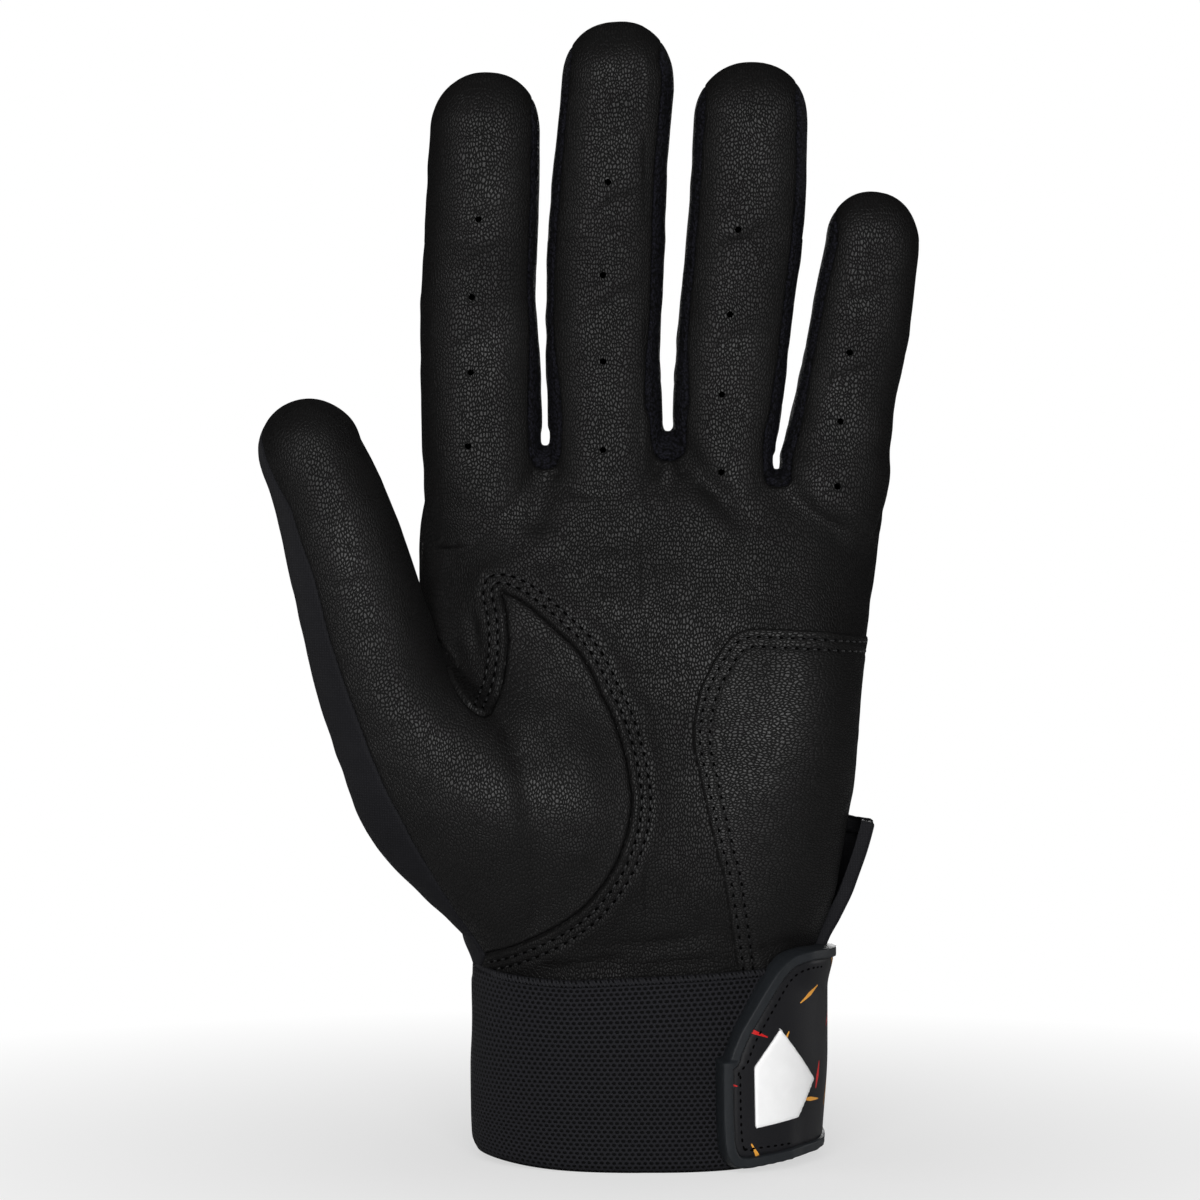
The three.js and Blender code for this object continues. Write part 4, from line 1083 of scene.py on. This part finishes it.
runs = [run for row in seam_rows for run in laid_on(palm_panel, row)]
runs += [run for row in heel_rows for run in laid_on(heel_panel, row)]
palm_stitches = sewn("palm-stitching", runs, STITCH_PITCH, STITCH_LENGTH, THREAD_WIDTH)
half = [(points[1:] * 0.5 + points[:-1] * 0.5, normals[1:]) for points, normals in runs]
# Painted shade: dark beads half a stitch along, where the needle holes are.
needle_hole_shade = sewn("palm-needle-hole-shade", half, STITCH_PITCH, HOLE_LENGTH, HOLE_WIDTH, material=hole_shade_and_black_thread)
for piece in (palm_stitches, needle_hole_shade):
    attach(piece)

# Cuff: a wide band of black elastic, warp-knitted with small offset holes, closed into a tube round the
# wrist. The hand's panels are sewn inside its top edge, and its lower edge dips in front.
CUFF_HALF_WIDTH = 33.7
CUFF_HALF_DEPTH = 23.0
CUFF_ROUNDNESS = 2.5
CUFF_WALL = 1.6
RIM_RISE = 2.6
MESH_PITCH = (1.2, 0.86)
turn = np.linspace(-math.pi, math.pi, 1441)
ring_x = CUFF_HALF_WIDTH * np.sign(np.cos(turn)) * abs(np.cos(turn)) ** (2 / CUFF_ROUNDNESS)
ring_y = -CUFF_HALF_DEPTH * np.sign(np.sin(turn)) * abs(np.sin(turn)) ** (2 / CUFF_ROUNDNESS)
ring_s = np.concatenate([[0], np.cumsum(np.hypot(np.diff(ring_x), np.diff(ring_y)))])
ring_s -= ring_s[720]
CUFF_GIRTH = ring_s[-1] - ring_s[0]


def round_cuff(along, height, rise):
    """Points at a distance along the cuff from its little-finger edge towards the palm, and a rise off it."""
    x, y = np.interp(along, ring_s, ring_x), np.interp(along, ring_s, ring_y)
    step = 0.4
    run_x = np.interp(along + step, ring_s, ring_x) - np.interp(along - step, ring_s, ring_x)
    run_y = np.interp(along + step, ring_s, ring_y) - np.interp(along - step, ring_s, ring_y)
    length = np.hypot(run_x, run_y).clip(1e-9)
    return np.stack([x - run_y / length * rise, y + run_x / length * rise, height + 0 * x], -1)


def hoop(profile, count=240):
    """A closed profile of rises and heights carried once round the cuff."""
    along = np.linspace(-CUFF_GIRTH / 2, CUFF_GIRTH / 2, count, endpoint=False)
    profile = np.array(profile, float)
    n = len(profile)
    points = np.stack([round_cuff(along, h, r) for r, h in profile], axis=1)
    weave = np.stack(np.broadcast_arrays(along[:, None], profile[None, :, 1]), -1).reshape(-1, 2)
    k, j = (g.ravel() for g in np.meshgrid(np.arange(count), np.arange(n), indexing="ij"))
    a, b = k * n + j, k * n + (j + 1) % n
    c, d = (k + 1) % count * n + j, (k + 1) % count * n + (j + 1) % n
    return points.reshape(-1, 3), np.vstack([np.stack([a, c, d], 1), np.stack([a, d, b], 1)]), weave


def edge_lift(points):
    """Rise of the cuff's top edge: lowest in front of the thumb's ball, higher at the sides and behind."""
    off = points[:, 0] + 13
    front_edge = 0.45 + np.where(off > 0, 0.052 * off, 1.95 * (off / 20.7) ** 2)
    return front_edge + (2.4 - front_edge) * ease(-2, 10, points[:, 1])


def edge_tuck(points):
    """How far the edge cord is tucked into the band at the cuff's thumb-side corner."""
    return 1.1 * ease(26, 32, -points[:, 0])


# Knitted elastic: dull yarn in rows 1.2 by 0.86 mm, every other row set over by half a step, with a hole in
# each step; each hole is painted near-black, as painted shade.
elastic, tree, surface = finish("knitted elastic", 0.75, 0.08)
weave = add(tree, "ShaderNodeUVMap", uv_map="weave").outputs["UV"]
steps = {0: weave, 1: (1 / MESH_PITCH[0], 1 / MESH_PITCH[1], 1)}
cells = add(tree, "ShaderNodeVectorMath", steps, operation="MULTIPLY")
axis = add(tree, "ShaderNodeSeparateXYZ", {0: cells.outputs["Vector"]})
row = add(tree, "ShaderNodeMath", {0: axis.outputs["Y"]}, operation="FLOOR")
odd = add(tree, "ShaderNodeMath", {0: row.outputs[0], 1: 2.0}, operation="FLOORED_MODULO")
set_over = {0: odd.outputs[0], 1: 0.5, 2: axis.outputs["X"]}
moved = add(tree, "ShaderNodeMath", set_over, operation="MULTIPLY_ADD")
u = add(tree, "ShaderNodeMath", {0: moved.outputs[0], 1: 0.5}, operation="PINGPONG")
v = add(tree, "ShaderNodeMath", {0: axis.outputs["Y"], 1: 0.5}, operation="PINGPONG")
hole_at = add(tree, "ShaderNodeCombineXYZ", {0: u.outputs[0], 1: v.outputs[0]})
hole = add(tree, "ShaderNodeVectorMath", {0: hole_at.outputs[0], 1: (0.5, 0.5, 0)}, operation="DISTANCE")
fuzz = add(tree, "ShaderNodeTexNoise", {"Vector": weave, "Scale": 2.2, "Detail": 3.0})
frayed = {0: fuzz.outputs["Fac"], 1: 0.25, 2: hole.outputs["Value"]}
hole = add(tree, "ShaderNodeMath", frayed, operation="MULTIPLY_ADD")
yarn = add(tree, "ShaderNodeMapRange", {"Value": hole.outputs[0], "From Min": 0.27, "From Max": 0.56},
           interpolation_type="SMOOTHSTEP").outputs["Result"]
# Painted shade: each hole is coloured near-black and sunk by the bump.
coloured(tree, surface, yarn, "#010101", "#1a1a1d", yarn, 0.9, 0.3)
heights = np.linspace(0, 1, 40)
outer = [(0.25 * math.sin(math.pi * t) - 0.9 * (1 - min(1, t * 14)) ** 2, -CUFF_TOP + CUFF_TOP * t)
         for t in heights]
inner = [(-CUFF_WALL, -CUFF_TOP * t) for t in heights[1:-1]]
points, faces, weave = hoop(outer + inner)
foot = 1 - ease(-CUFF_TOP, -CUFF_TOP + 14, points[:, 2])
points[:, 2] += RIM_RISE * foot * (abs(points[:, 0]) / CUFF_HALF_WIDTH).clip(0, 1) ** 3
points[:, 2] += edge_lift(points) * ease(-18, 0, points[:, 2])
points += (points * (1, 1, 0)) / CUFF_HALF_WIDTH * (0.25 * waves(points, 9, 8))[:, None]
cuff = piece_of("cuff-band", points, faces, elastic, weave)
attach(cuff, ["cuff_band"])

# Cuff's top edge: the elastic is folded over a cord and overlocked with slanted black thread, which joins it
# to the leather and the fabric inside.
CORD_RADIUS = 0.75
OVERLOCK = {"pitch": 0.8, "length": 1.7, "width": 0.5, "slant": math.radians(-62)}
circle = np.linspace(0, 2 * math.pi, 12, endpoint=False)
section = [(-0.1 + CORD_RADIUS * math.cos(a), 0.1 + CORD_RADIUS * math.sin(a)) for a in circle]
points, faces, weave = hoop(section)
points[:, 0] += edge_tuck(points)
points[:, 2] += edge_lift(points)
cord = piece_of("cuff-edge-cord", points, faces, elastic, weave)
attach(cord, ["cuff_edge_cord"])
# Overlock thread: loose textured yarn, duller and lighter than the sewing thread.
cuff_thread, tree, surface = finish("textured overlock yarn", 0.8, 0.15)
place = add(tree, "ShaderNodeTexCoord").outputs["Object"]
fluff = add(tree, "ShaderNodeTexNoise", {"Vector": place, "Scale": 1 / (0.2 * MM), "Detail": 1.0})
coloured(tree, surface, fluff.outputs["Fac"], "#0e0e10", "#242427")
along = np.linspace(-CUFF_GIRTH / 2, CUFF_GIRTH / 2, 500)
crest = round_cuff(along, 0.1, CORD_RADIUS * 0.6)
outwards = round_cuff(along, 0.1, 2) - crest
crest[:, 0] += edge_tuck(crest)
crest[:, 2] += edge_lift(crest)
overlock = sewn("cuff-overlock", [(crest, outwards)], **OVERLOCK, material=cuff_thread)
attach(overlock)

# Strap: a firm laminated band, sewn to the cuff at the back of the wrist, which runs round the little-finger
# edge and closes over the palm side of the cuff with hook and loop. Its free tab has a cut-off upper corner.
STRAP_RISE = 2.3
STRAP_THICKNESS = 1.2
BIND_WIDTH = 2.8
DASH_CELL = 9.5
DASH_HALF = (2.9, 0.42)
# Outline of the tab as seen from the front, x and height, from the foot of its free end to the top corner.
TAB_EDGE = ((20.5, -35.2), (17.6, -34.6), (15.9, -32.6), (15.1, -29), (14.8, -20), (14.8, -15),
            (14.9, -13.7), (16.3, -13.3), (17.0, -11.6), (18.5, -8.2), (20.6, -4.7), (22.6, -1.5),
            (24.5, 1.4), (26.2, 3.6), (28.2, 5.4), (30.3, 6.5), (32.4, 7.0), (34.4, 7.0))
STRAP_BACK = -68.0
# The strap folds between these two y, at the little-finger edge.
STRAP_FOLD = (6, -7)
front_s = np.linspace(0, CUFF_GIRTH / 4 + 6, 400)
front_x = round_cuff(front_s, 0.0, STRAP_RISE + STRAP_THICKNESS)[:, 0]


def along_of(x):
    """Distance along the cuff of a place on its palm side, from its x as seen from the front."""
    return np.interp(-x, -front_x, front_s)


tab = smooth_path([(along_of(x), h) for x, h in TAB_EDGE], 0.5)
fixed_end = [(-2, 6.4), (-12, 5.0), (-30, 3.6), (-58, 3.0), (STRAP_BACK + 3, 2.4), (STRAP_BACK, -1),
             (STRAP_BACK, -CUFF_TOP + 5), (STRAP_BACK + 4, -CUFF_TOP + 1.4), (-4, -CUFF_TOP + 3.0),
             (along_of(30), -CUFF_TOP + 2.0)]
strap_outline = np.vstack([tab, fixed_end])


def snug(base):
    """Rise of the strap at the little-finger edge: it stands off the wrist at the top and hugs it below."""
    side = ease(-16, -6, base[:, 0]) * (1 - ease(along_of(32.5), along_of(28.5), base[:, 0]))
    return side * (1.2 * ease(-2, 5, base[:, 2]) - 1.2 * (1 - ease(-36, -14, base[:, 2])))


class Wrapped:
    """Part of the cuff's wrapped surface inside an outline, between two distances from its edge."""

    def __init__(self, outline, rise, low=0.0, high=None, step=0.7, edge_radius=0.5):
        s0, h0 = outline.min(axis=0) - 1
        s1, h1 = outline.max(axis=0) + 1
        s, h = np.meshgrid(np.arange(s0, s1 + step, step), np.arange(h0, h1 + step, step), indexing="ij")
        rows, cols = s.shape
        k, j = (g.ravel() for g in np.meshgrid(np.arange(rows - 1), np.arange(cols - 1), indexing="ij"))
        a, b, c, d = k * cols + j, k * cols + j + 1, (k + 1) * cols + j, (k + 1) * cols + j + 1
        flat = np.stack([s.ravel(), 0 * s.ravel(), h.ravel()], 1)
        faces = np.vstack([np.stack([a, d, c], 1), np.stack([a, b, d], 1)])
        for limit in (low, high):
            if limit is not None:
                flat, faces = cut(flat, faces, lambda p: outline_distance(p[:, [0, 2]], outline) - limit)
        gap = outline_distance(flat[faces].mean(axis=1)[:, [0, 2]], outline)
        faces = faces[(gap > low) & (gap < (1e9 if high is None else high))]
        used, local = np.unique(faces, return_inverse=True)
        self.faces = local.reshape(-1, 3)
        self.base = flat[used]
        self.inside = outline_distance(self.base[:, [0, 2]], outline)
        edge = self.inside - low if high is None else np.minimum(self.inside - low, high - self.inside)
        lift = rise(self.base, self.inside) + edge_roll(edge.clip(0), edge_radius)
        self.points = round_cuff(self.base[:, 0], self.base[:, 2], lift)
        self.normals = normals_of(self.points, self.faces)
        if (self.normals * (self.points * (1, 1, 0))).sum() < 0:
            self.faces = self.faces[:, ::-1]
            self.normals = -self.normals
        self.outward = round_cuff(self.base[:, 0], 0.0, 1.0) - round_cuff(self.base[:, 0], 0.0, 0.0)


def flat_weave(base):
    """Place on a wrapped piece in mm: along the cuff and up it."""
    return base[:, [0, 2]]


# Laminated fabric: a close black cloth under a thin clear film, with a scatter of short red and amber dashes
# printed on, one in each cell of a loose grid and thinner towards its ends.
laminate, tree, surface = finish("printed laminated cloth", 0.5, 0.14)
weave = add(tree, "ShaderNodeUVMap", uv_map="weave").outputs["UV"]
cloth = add(tree, "ShaderNodeTexNoise", {"Vector": weave, "Scale": 2.6, "Detail": 4.0}).outputs["Fac"]
spots = add(tree, "ShaderNodeTexVoronoi", {"Vector": weave, "Scale": 1 / DASH_CELL, "Randomness": 0.8},
            voronoi_dimensions="2D")
local = add(tree, "ShaderNodeVectorMath", {0: weave, 1: spots.outputs["Position"]}, operation="SUBTRACT")
chance = add(tree, "ShaderNodeSeparateColor", {0: spots.outputs["Color"]})
angle = add(tree, "ShaderNodeMath", {0: chance.outputs[0], 1: 6.28}, operation="MULTIPLY")
dash = add(tree, "ShaderNodeVectorRotate", {"Vector": local.outputs["Vector"], "Angle": angle.outputs[0]},
           rotation_type="Z_AXIS")
dash = add(tree, "ShaderNodeSeparateXYZ", {0: dash.outputs["Vector"]})
away = add(tree, "ShaderNodeMath", {0: dash.outputs["X"]}, operation="ABSOLUTE").outputs[0]
taper = {"Value": away, "From Max": DASH_HALF[0], "To Min": DASH_HALF[1], "To Max": 0.1}
thick = add(tree, "ShaderNodeMapRange", taper).outputs["Result"]
beside = add(tree, "ShaderNodeMath", {0: dash.outputs["Y"]}, operation="ABSOLUTE").outputs[0]
thin = add(tree, "ShaderNodeMath", {0: beside, 1: thick}, operation="LESS_THAN").outputs[0]
short = add(tree, "ShaderNodeMath", {0: away, 1: DASH_HALF[0]}, operation="LESS_THAN").outputs[0]
printed = add(tree, "ShaderNodeMath", {0: thin, 1: short}, operation="MULTIPLY").outputs[0]
warm = add(tree, "ShaderNodeMath", {0: chance.outputs[1], 1: 0.5}, operation="GREATER_THAN").outputs[0]
ink = add(tree, "ShaderNodeMix", {"Factor": warm, 6: colour("#b51a1a"), 7: colour("#cf9038")},
          data_type="RGBA")
ground = add(tree, "ShaderNodeMix", {"Factor": cloth, 6: colour("#0e0e10"), 7: colour("#18181b")},
             data_type="RGBA")
coloured(tree, surface, printed, ground.outputs[2], ink.outputs[2], cloth, 0.3, 0.1)
strap_turn = [np.array([CUFF_HALF_WIDTH, y, 0]) * MM for y in STRAP_FOLD]
face = Wrapped(strap_outline, lambda base, inside: STRAP_RISE + STRAP_THICKNESS + snug(base),
               low=BIND_WIDTH - 0.6)
strap = shell("strap-face", face, slice(None), STRAP_THICKNESS, laminate, flat_weave)
attach(strap, ["strap_tab", "strap_base"], "strap", strap_turn)

# Strap binding: a soft moulded rubber edge, blue-grey, folded round the strap's edge and sewn through.
# At the free end it is thicker and stands out, as a grip to pull the strap by.
BIND_RISE = 1.6
BIND_CROWN = 2.4
PULL_EXTRA = 0.8
BIND_ROUND = 0.5
# Rubber: smooth satin skin with a faint mould grain.
rubber, tree, surface = finish("soft moulded rubber", 0.55, 0.18)
place = add(tree, "ShaderNodeTexCoord").outputs["Object"]
mould = add(tree, "ShaderNodeTexNoise", {"Vector": place, "Scale": 1 / (0.5 * MM), "Detail": 3.0})
coloured(tree, surface, mould.outputs["Fac"], "#15171a", "#202326", mould.outputs["Fac"], 0.2, 0.06)


def bead(base, inside):
    """Rise of the binding: crowned across its width, thicker at the pull end."""
    crown = ease(0, BIND_ROUND, inside) * ease(0, BIND_ROUND, BIND_WIDTH - inside)
    pull = ease(along_of(19.0) - 1, along_of(16.4), base[:, 0]) * (1 - ease(-14.3, -13.7, base[:, 2]))
    return BIND_RISE + snug(base) + (BIND_CROWN + PULL_EXTRA * pull) * crown


binding = Wrapped(strap_outline, bead, 0.0, BIND_WIDTH, step=0.25, edge_radius=0.3)
bind = shell("strap-binding", binding, slice(None), 1.4, rubber)
attach(bind, ["strap_upper_binding", "strap_pull_binding", "strap_base_binding"], "strap",
       strap_turn)

# Stitching of the strap: one row of black thread through the cloth just inside the binding, round the free
# tab. It is sunk in the cloth and shows as dark dashes.
STRAP_ROW = 3.9
STRAP_STITCH = {"pitch": 1.5, "length": 0.95, "width": 0.5}
STRAP_SINK = 0.12
low_row = np.stack([np.linspace(0, along_of(20), 200), np.linspace(2.4, 1.0, 200) + STRAP_ROW - CUFF_TOP], 1)
strap_runs = []
for row in (offset_path(tab, STRAP_ROW), low_row):
    row = row[outline_distance(row, strap_outline) > STRAP_ROW - 0.4]
    row = row[round_cuff(row[:, 0], row[:, 1], 0.0)[:, 1] < STRAP_FOLD[1]]
    rise = STRAP_RISE + STRAP_THICKNESS - STRAP_SINK + snug(row[:, [0, 0, 1]])
    top = round_cuff(row[:, 0], row[:, 1], rise)
    strap_runs.append((top, round_cuff(row[:, 0], row[:, 1], rise + 2) - top))
strap_stitches = sewn("strap-stitching", strap_runs, **STRAP_STITCH, material=hole_shade_and_black_thread)
attach(strap_stitches, body="strap")

# Number badge: a white five-sided patch of smooth moulded film, heat-pressed on to the tab.
# Its satin surface has a faint haze.
BADGE = ((26.7, -8.3), (33.4, -18.6), (30.2, -25.7), (21.8, -27.1), (21.6, -15.3))
BADGE_THICKNESS = 0.6
film, tree, surface = finish("white pressed film", 0.4)
place = add(tree, "ShaderNodeTexCoord").outputs["Object"]
haze = add(tree, "ShaderNodeTexNoise", {"Vector": place, "Scale": 1 / (3 * MM), "Detail": 4.0})
coloured(tree, surface, haze.outputs["Fac"], "#e2e2e2", "#efefef")


def front_outline(edge):
    """An edge of x and heights as seen from the front, as distances along the cuff and heights."""
    return np.array([(along_of(x), height) for x, height in edge])


def patch(name, outline, rise, thickness, material, step, edge_radius, weave=None):
    """A flat patch on the cuff or the strap, inside an outline and at one rise off the cuff."""
    wrapped = Wrapped(outline, lambda base, inside: np.full(len(base), rise), step=step,
                      edge_radius=edge_radius)
    return shell(name, wrapped, slice(None), thickness, material, weave)


badge_rise = STRAP_RISE + STRAP_THICKNESS + BADGE_THICKNESS
badge = patch("number-badge", front_outline(BADGE), badge_rise, BADGE_THICKNESS, film, 0.5, 0.25)
attach(badge, ["number_badge"], "strap")

# Hook and loop: a patch of hook pile welded under the tab, and a patch of loop pile sewn to the cuff below.
# A thin lining backs the strap's fixed end, and the same brushed pile covers the tab's inner face.
PATCH_FOOT = -CUFF_TOP + 5
LOOP_EDGE = ((18, PATCH_FOOT), (31, PATCH_FOOT), (31, -9.0), (18, -13.0))
HOOK_EDGE = ((19.5, PATCH_FOOT), (31, PATCH_FOOT), (31, -6.0), (22, -10.0), (19.5, -14))
LINING = ((-10, -CUFF_TOP + 4), (-10, -1), (STRAP_BACK + 4, -1.5), (STRAP_BACK + 4, -CUFF_TOP + 4))
TUFT = 0.8
# Pile: nylon tufts about 0.8 mm apart, dull and fuzzy.
pile, tree, surface = finish("nylon hook and loop pile", 0.8, 0.2)
weave = add(tree, "ShaderNodeUVMap", uv_map="weave").outputs["UV"]
tuft = add(tree, "ShaderNodeTexVoronoi", {"Vector": weave, "Scale": 1 / TUFT}).outputs["Distance"]
coloured(tree, surface, tuft, "#222225", "#0a0a0b", tuft, depth=0.5)
strap.data.materials.append(pile)
for polygon in strap.data.polygons:
    if polygon.normal.x * polygon.center.x + polygon.normal.y * polygon.center.y < 0:
        polygon.material_index = 1
loops = patch("loop-patch", front_outline(LOOP_EDGE), 1.0, 0.7, pile, 0.6, 0.3, flat_weave)
attach(loops, ["loop_patch"])
hooks = patch("hook-patch", front_outline(HOOK_EDGE), 2.1, 0.8, pile, 0.6, 0.2, flat_weave)
attach(hooks, ["hook_patch"], "strap")
lining = patch("strap-lining", np.array(LINING), STRAP_RISE - 0.1, STRAP_RISE - 0.4, pile, 1.0, 0.2,
               flat_weave)
attach(lining, ["strap_lining"])

# Wrist flap: a tongue of stretch fabric at the little-finger side above the strap, bound along its edges.
# It is sewn down at the foot and stands away from the hand at the top.
FLAP_FRONT_Y = -4.0
FLAP_END_X = -6.0
FLAP_FOOT = 6.5
FLAP_TOP = 32.1
FLAP_BIND = 3.0


def flap_field(points):
    """Distance in mm inside the flap's edges."""
    x, y, height = points.T
    return np.minimum.reduce((x - FLAP_END_X, y - FLAP_FRONT_Y, height - FLAP_FOOT, FLAP_TOP - height))


def flap_lift(points):
    """Rise of the flap off the hand, most at its open top."""
    return 3.2 + 3.0 * ease(FLAP_FOOT, FLAP_TOP, points[:, 2])


keep = (centre[:, 2] > 2) & (centre[:, 2] < 40) & (centre[:, 0] > -14) & (centre[:, 1] > -12)
skin, flap_faces = cut(skin, skin_faces[keep], flap_field)
skin, flap_faces = cut(skin, flap_faces, lambda points: flap_field(points) - FLAP_BIND)
skin_normal = normals_of(skin, flap_faces)
inside = flap_field(skin[flap_faces].mean(axis=1))
flap_panel = Panel(flap_faces[inside > FLAP_BIND], flap_lift, 0.2)
flap = shell("wrist-flap", flap_panel, slice(None), 1.2, stretch)
attach(flap, ["wrist_flap"])
at_edge = (inside > 0) & (inside < FLAP_BIND)
edge_panel = Panel(flap_faces[at_edge], lambda points: flap_lift(points) + 0.5, 0.7)
flap_bind = shell("wrist-flap-binding", edge_panel, slice(None), 2.0, stretch)
attach(flap_bind, ["wrist_flap_binding"])

# Studio: a pale floor, a white surround, six soft lamps and the camera, level with the middle of the glove.
# The floor glows to white away from the glove's foot.
CAMERA_DISTANCE = 700
CAMERA_PLACE = (-8.2, 75)
SENSOR = 36
FIELD = 240
LAMP_AIM = (0, 0, 0.115)
bpy.context.scene.view_settings.view_transform = "Standard"
stage_material, tree, surface = finish("pale floor", 0.9)
surface.inputs["Base Color"].default_value = colour("#f4f4f4")
place = add(tree, "ShaderNodeTexCoord").outputs["Object"]
reach = add(tree, "ShaderNodeVectorMath", {0: place}, operation="LENGTH")
near_to_far = {"Value": reach.outputs["Value"], "From Min": 0.03, "From Max": 0.25, "To Min": 0.6}
far = add(tree, "ShaderNodeMapRange", near_to_far)
path = add(tree, "ShaderNodeLightPath")
seen = add(tree, "ShaderNodeMath", {0: far.outputs["Result"], 1: path.outputs["Is Camera Ray"]},
           operation="MULTIPLY")
glow = add(tree, "ShaderNodeEmission", {"Strength": 1.0})
both = add(tree, "ShaderNodeMixShader", {0: seen.outputs[0], 1: surface.outputs[0], 2: glow.outputs[0]})
tree.links.new(both.outputs[0], tree.nodes["Material Output"].inputs["Surface"])
bpy.ops.mesh.primitive_plane_add(size=6)
floor = bpy.context.object
floor.name = "floor"
floor.data.materials.append(stage_material)
world = bpy.data.worlds.new("studio")
bpy.context.scene.world = world
world.use_nodes = True
tree = world.node_tree
path = add(tree, "ShaderNodeLightPath")
rays = {0: path.outputs["Is Camera Ray"], 1: path.outputs["Is Transmission Ray"]}
seen = add(tree, "ShaderNodeMath", rays, operation="MAXIMUM")
level = add(tree, "ShaderNodeMapRange", {"Value": seen.outputs[0], "To Min": 0.03, "To Max": 1.0})
tree.links.new(level.outputs["Result"], tree.nodes["Background"].inputs["Strength"])
tree.nodes["Background"].inputs["Color"].default_value = (1, 1, 1, 1)
LAMPS = (("key lamp", (-0.06, -1.1, 0.31), 0.7, 15.0), ("fill lamp", (0.6, -0.9, 0.2), 0.4, 0.7),
         ("back lamp", (0.0, 1.1, 0.25), 0.7, 10.0), ("thumb-side lamp", (-1.1, 0.3, 0.3), 0.6, 4.5),
         ("far-side lamp", (1.1, 0.3, 0.3), 0.6, 4.0), ("top lamp", (-0.1, 0.05, 1.1), 0.5, 0.3))
# The lamps behind and beside the glove light its cloth and strap, and are kept off the leather's edges.
CLOTH_LAMPS = ("back lamp", "thumb-side lamp", "far-side lamp")
KEPT_OFF = (leather, thumb_hide, cross_leather, thread, hole_shade_and_black_thread, film, stage_material)
cloth = bpy.data.collections.new("cloth and strap")
for piece in bpy.context.scene.objects:
    if piece.type == "MESH" and piece.data.materials and piece.data.materials[0] not in KEPT_OFF:
        cloth.objects.link(piece)
for name, place, size, power in LAMPS:
    lamp = bpy.data.lights.new(name, "AREA")
    lamp.size, lamp.energy = size, power
    obj = linked(name, lamp)
    obj.location = place
    obj.rotation_euler = (Vector(LAMP_AIM) - Vector(place)).to_track_quat("-Z", "Y").to_euler()
    if name in CLOTH_LAMPS:
        obj.light_linking.receiver_collection = cloth
camera = linked("camera", bpy.data.cameras.new("camera"))
camera.location = Vector((CAMERA_PLACE[0], -CAMERA_DISTANCE, CAMERA_PLACE[1] + CUFF_TOP)) * MM
camera.rotation_euler = (math.pi / 2, 0, 0)
camera.data.sensor_width = SENSOR
camera.data.lens = SENSOR * CAMERA_DISTANCE / FIELD
bpy.context.scene.camera = camera
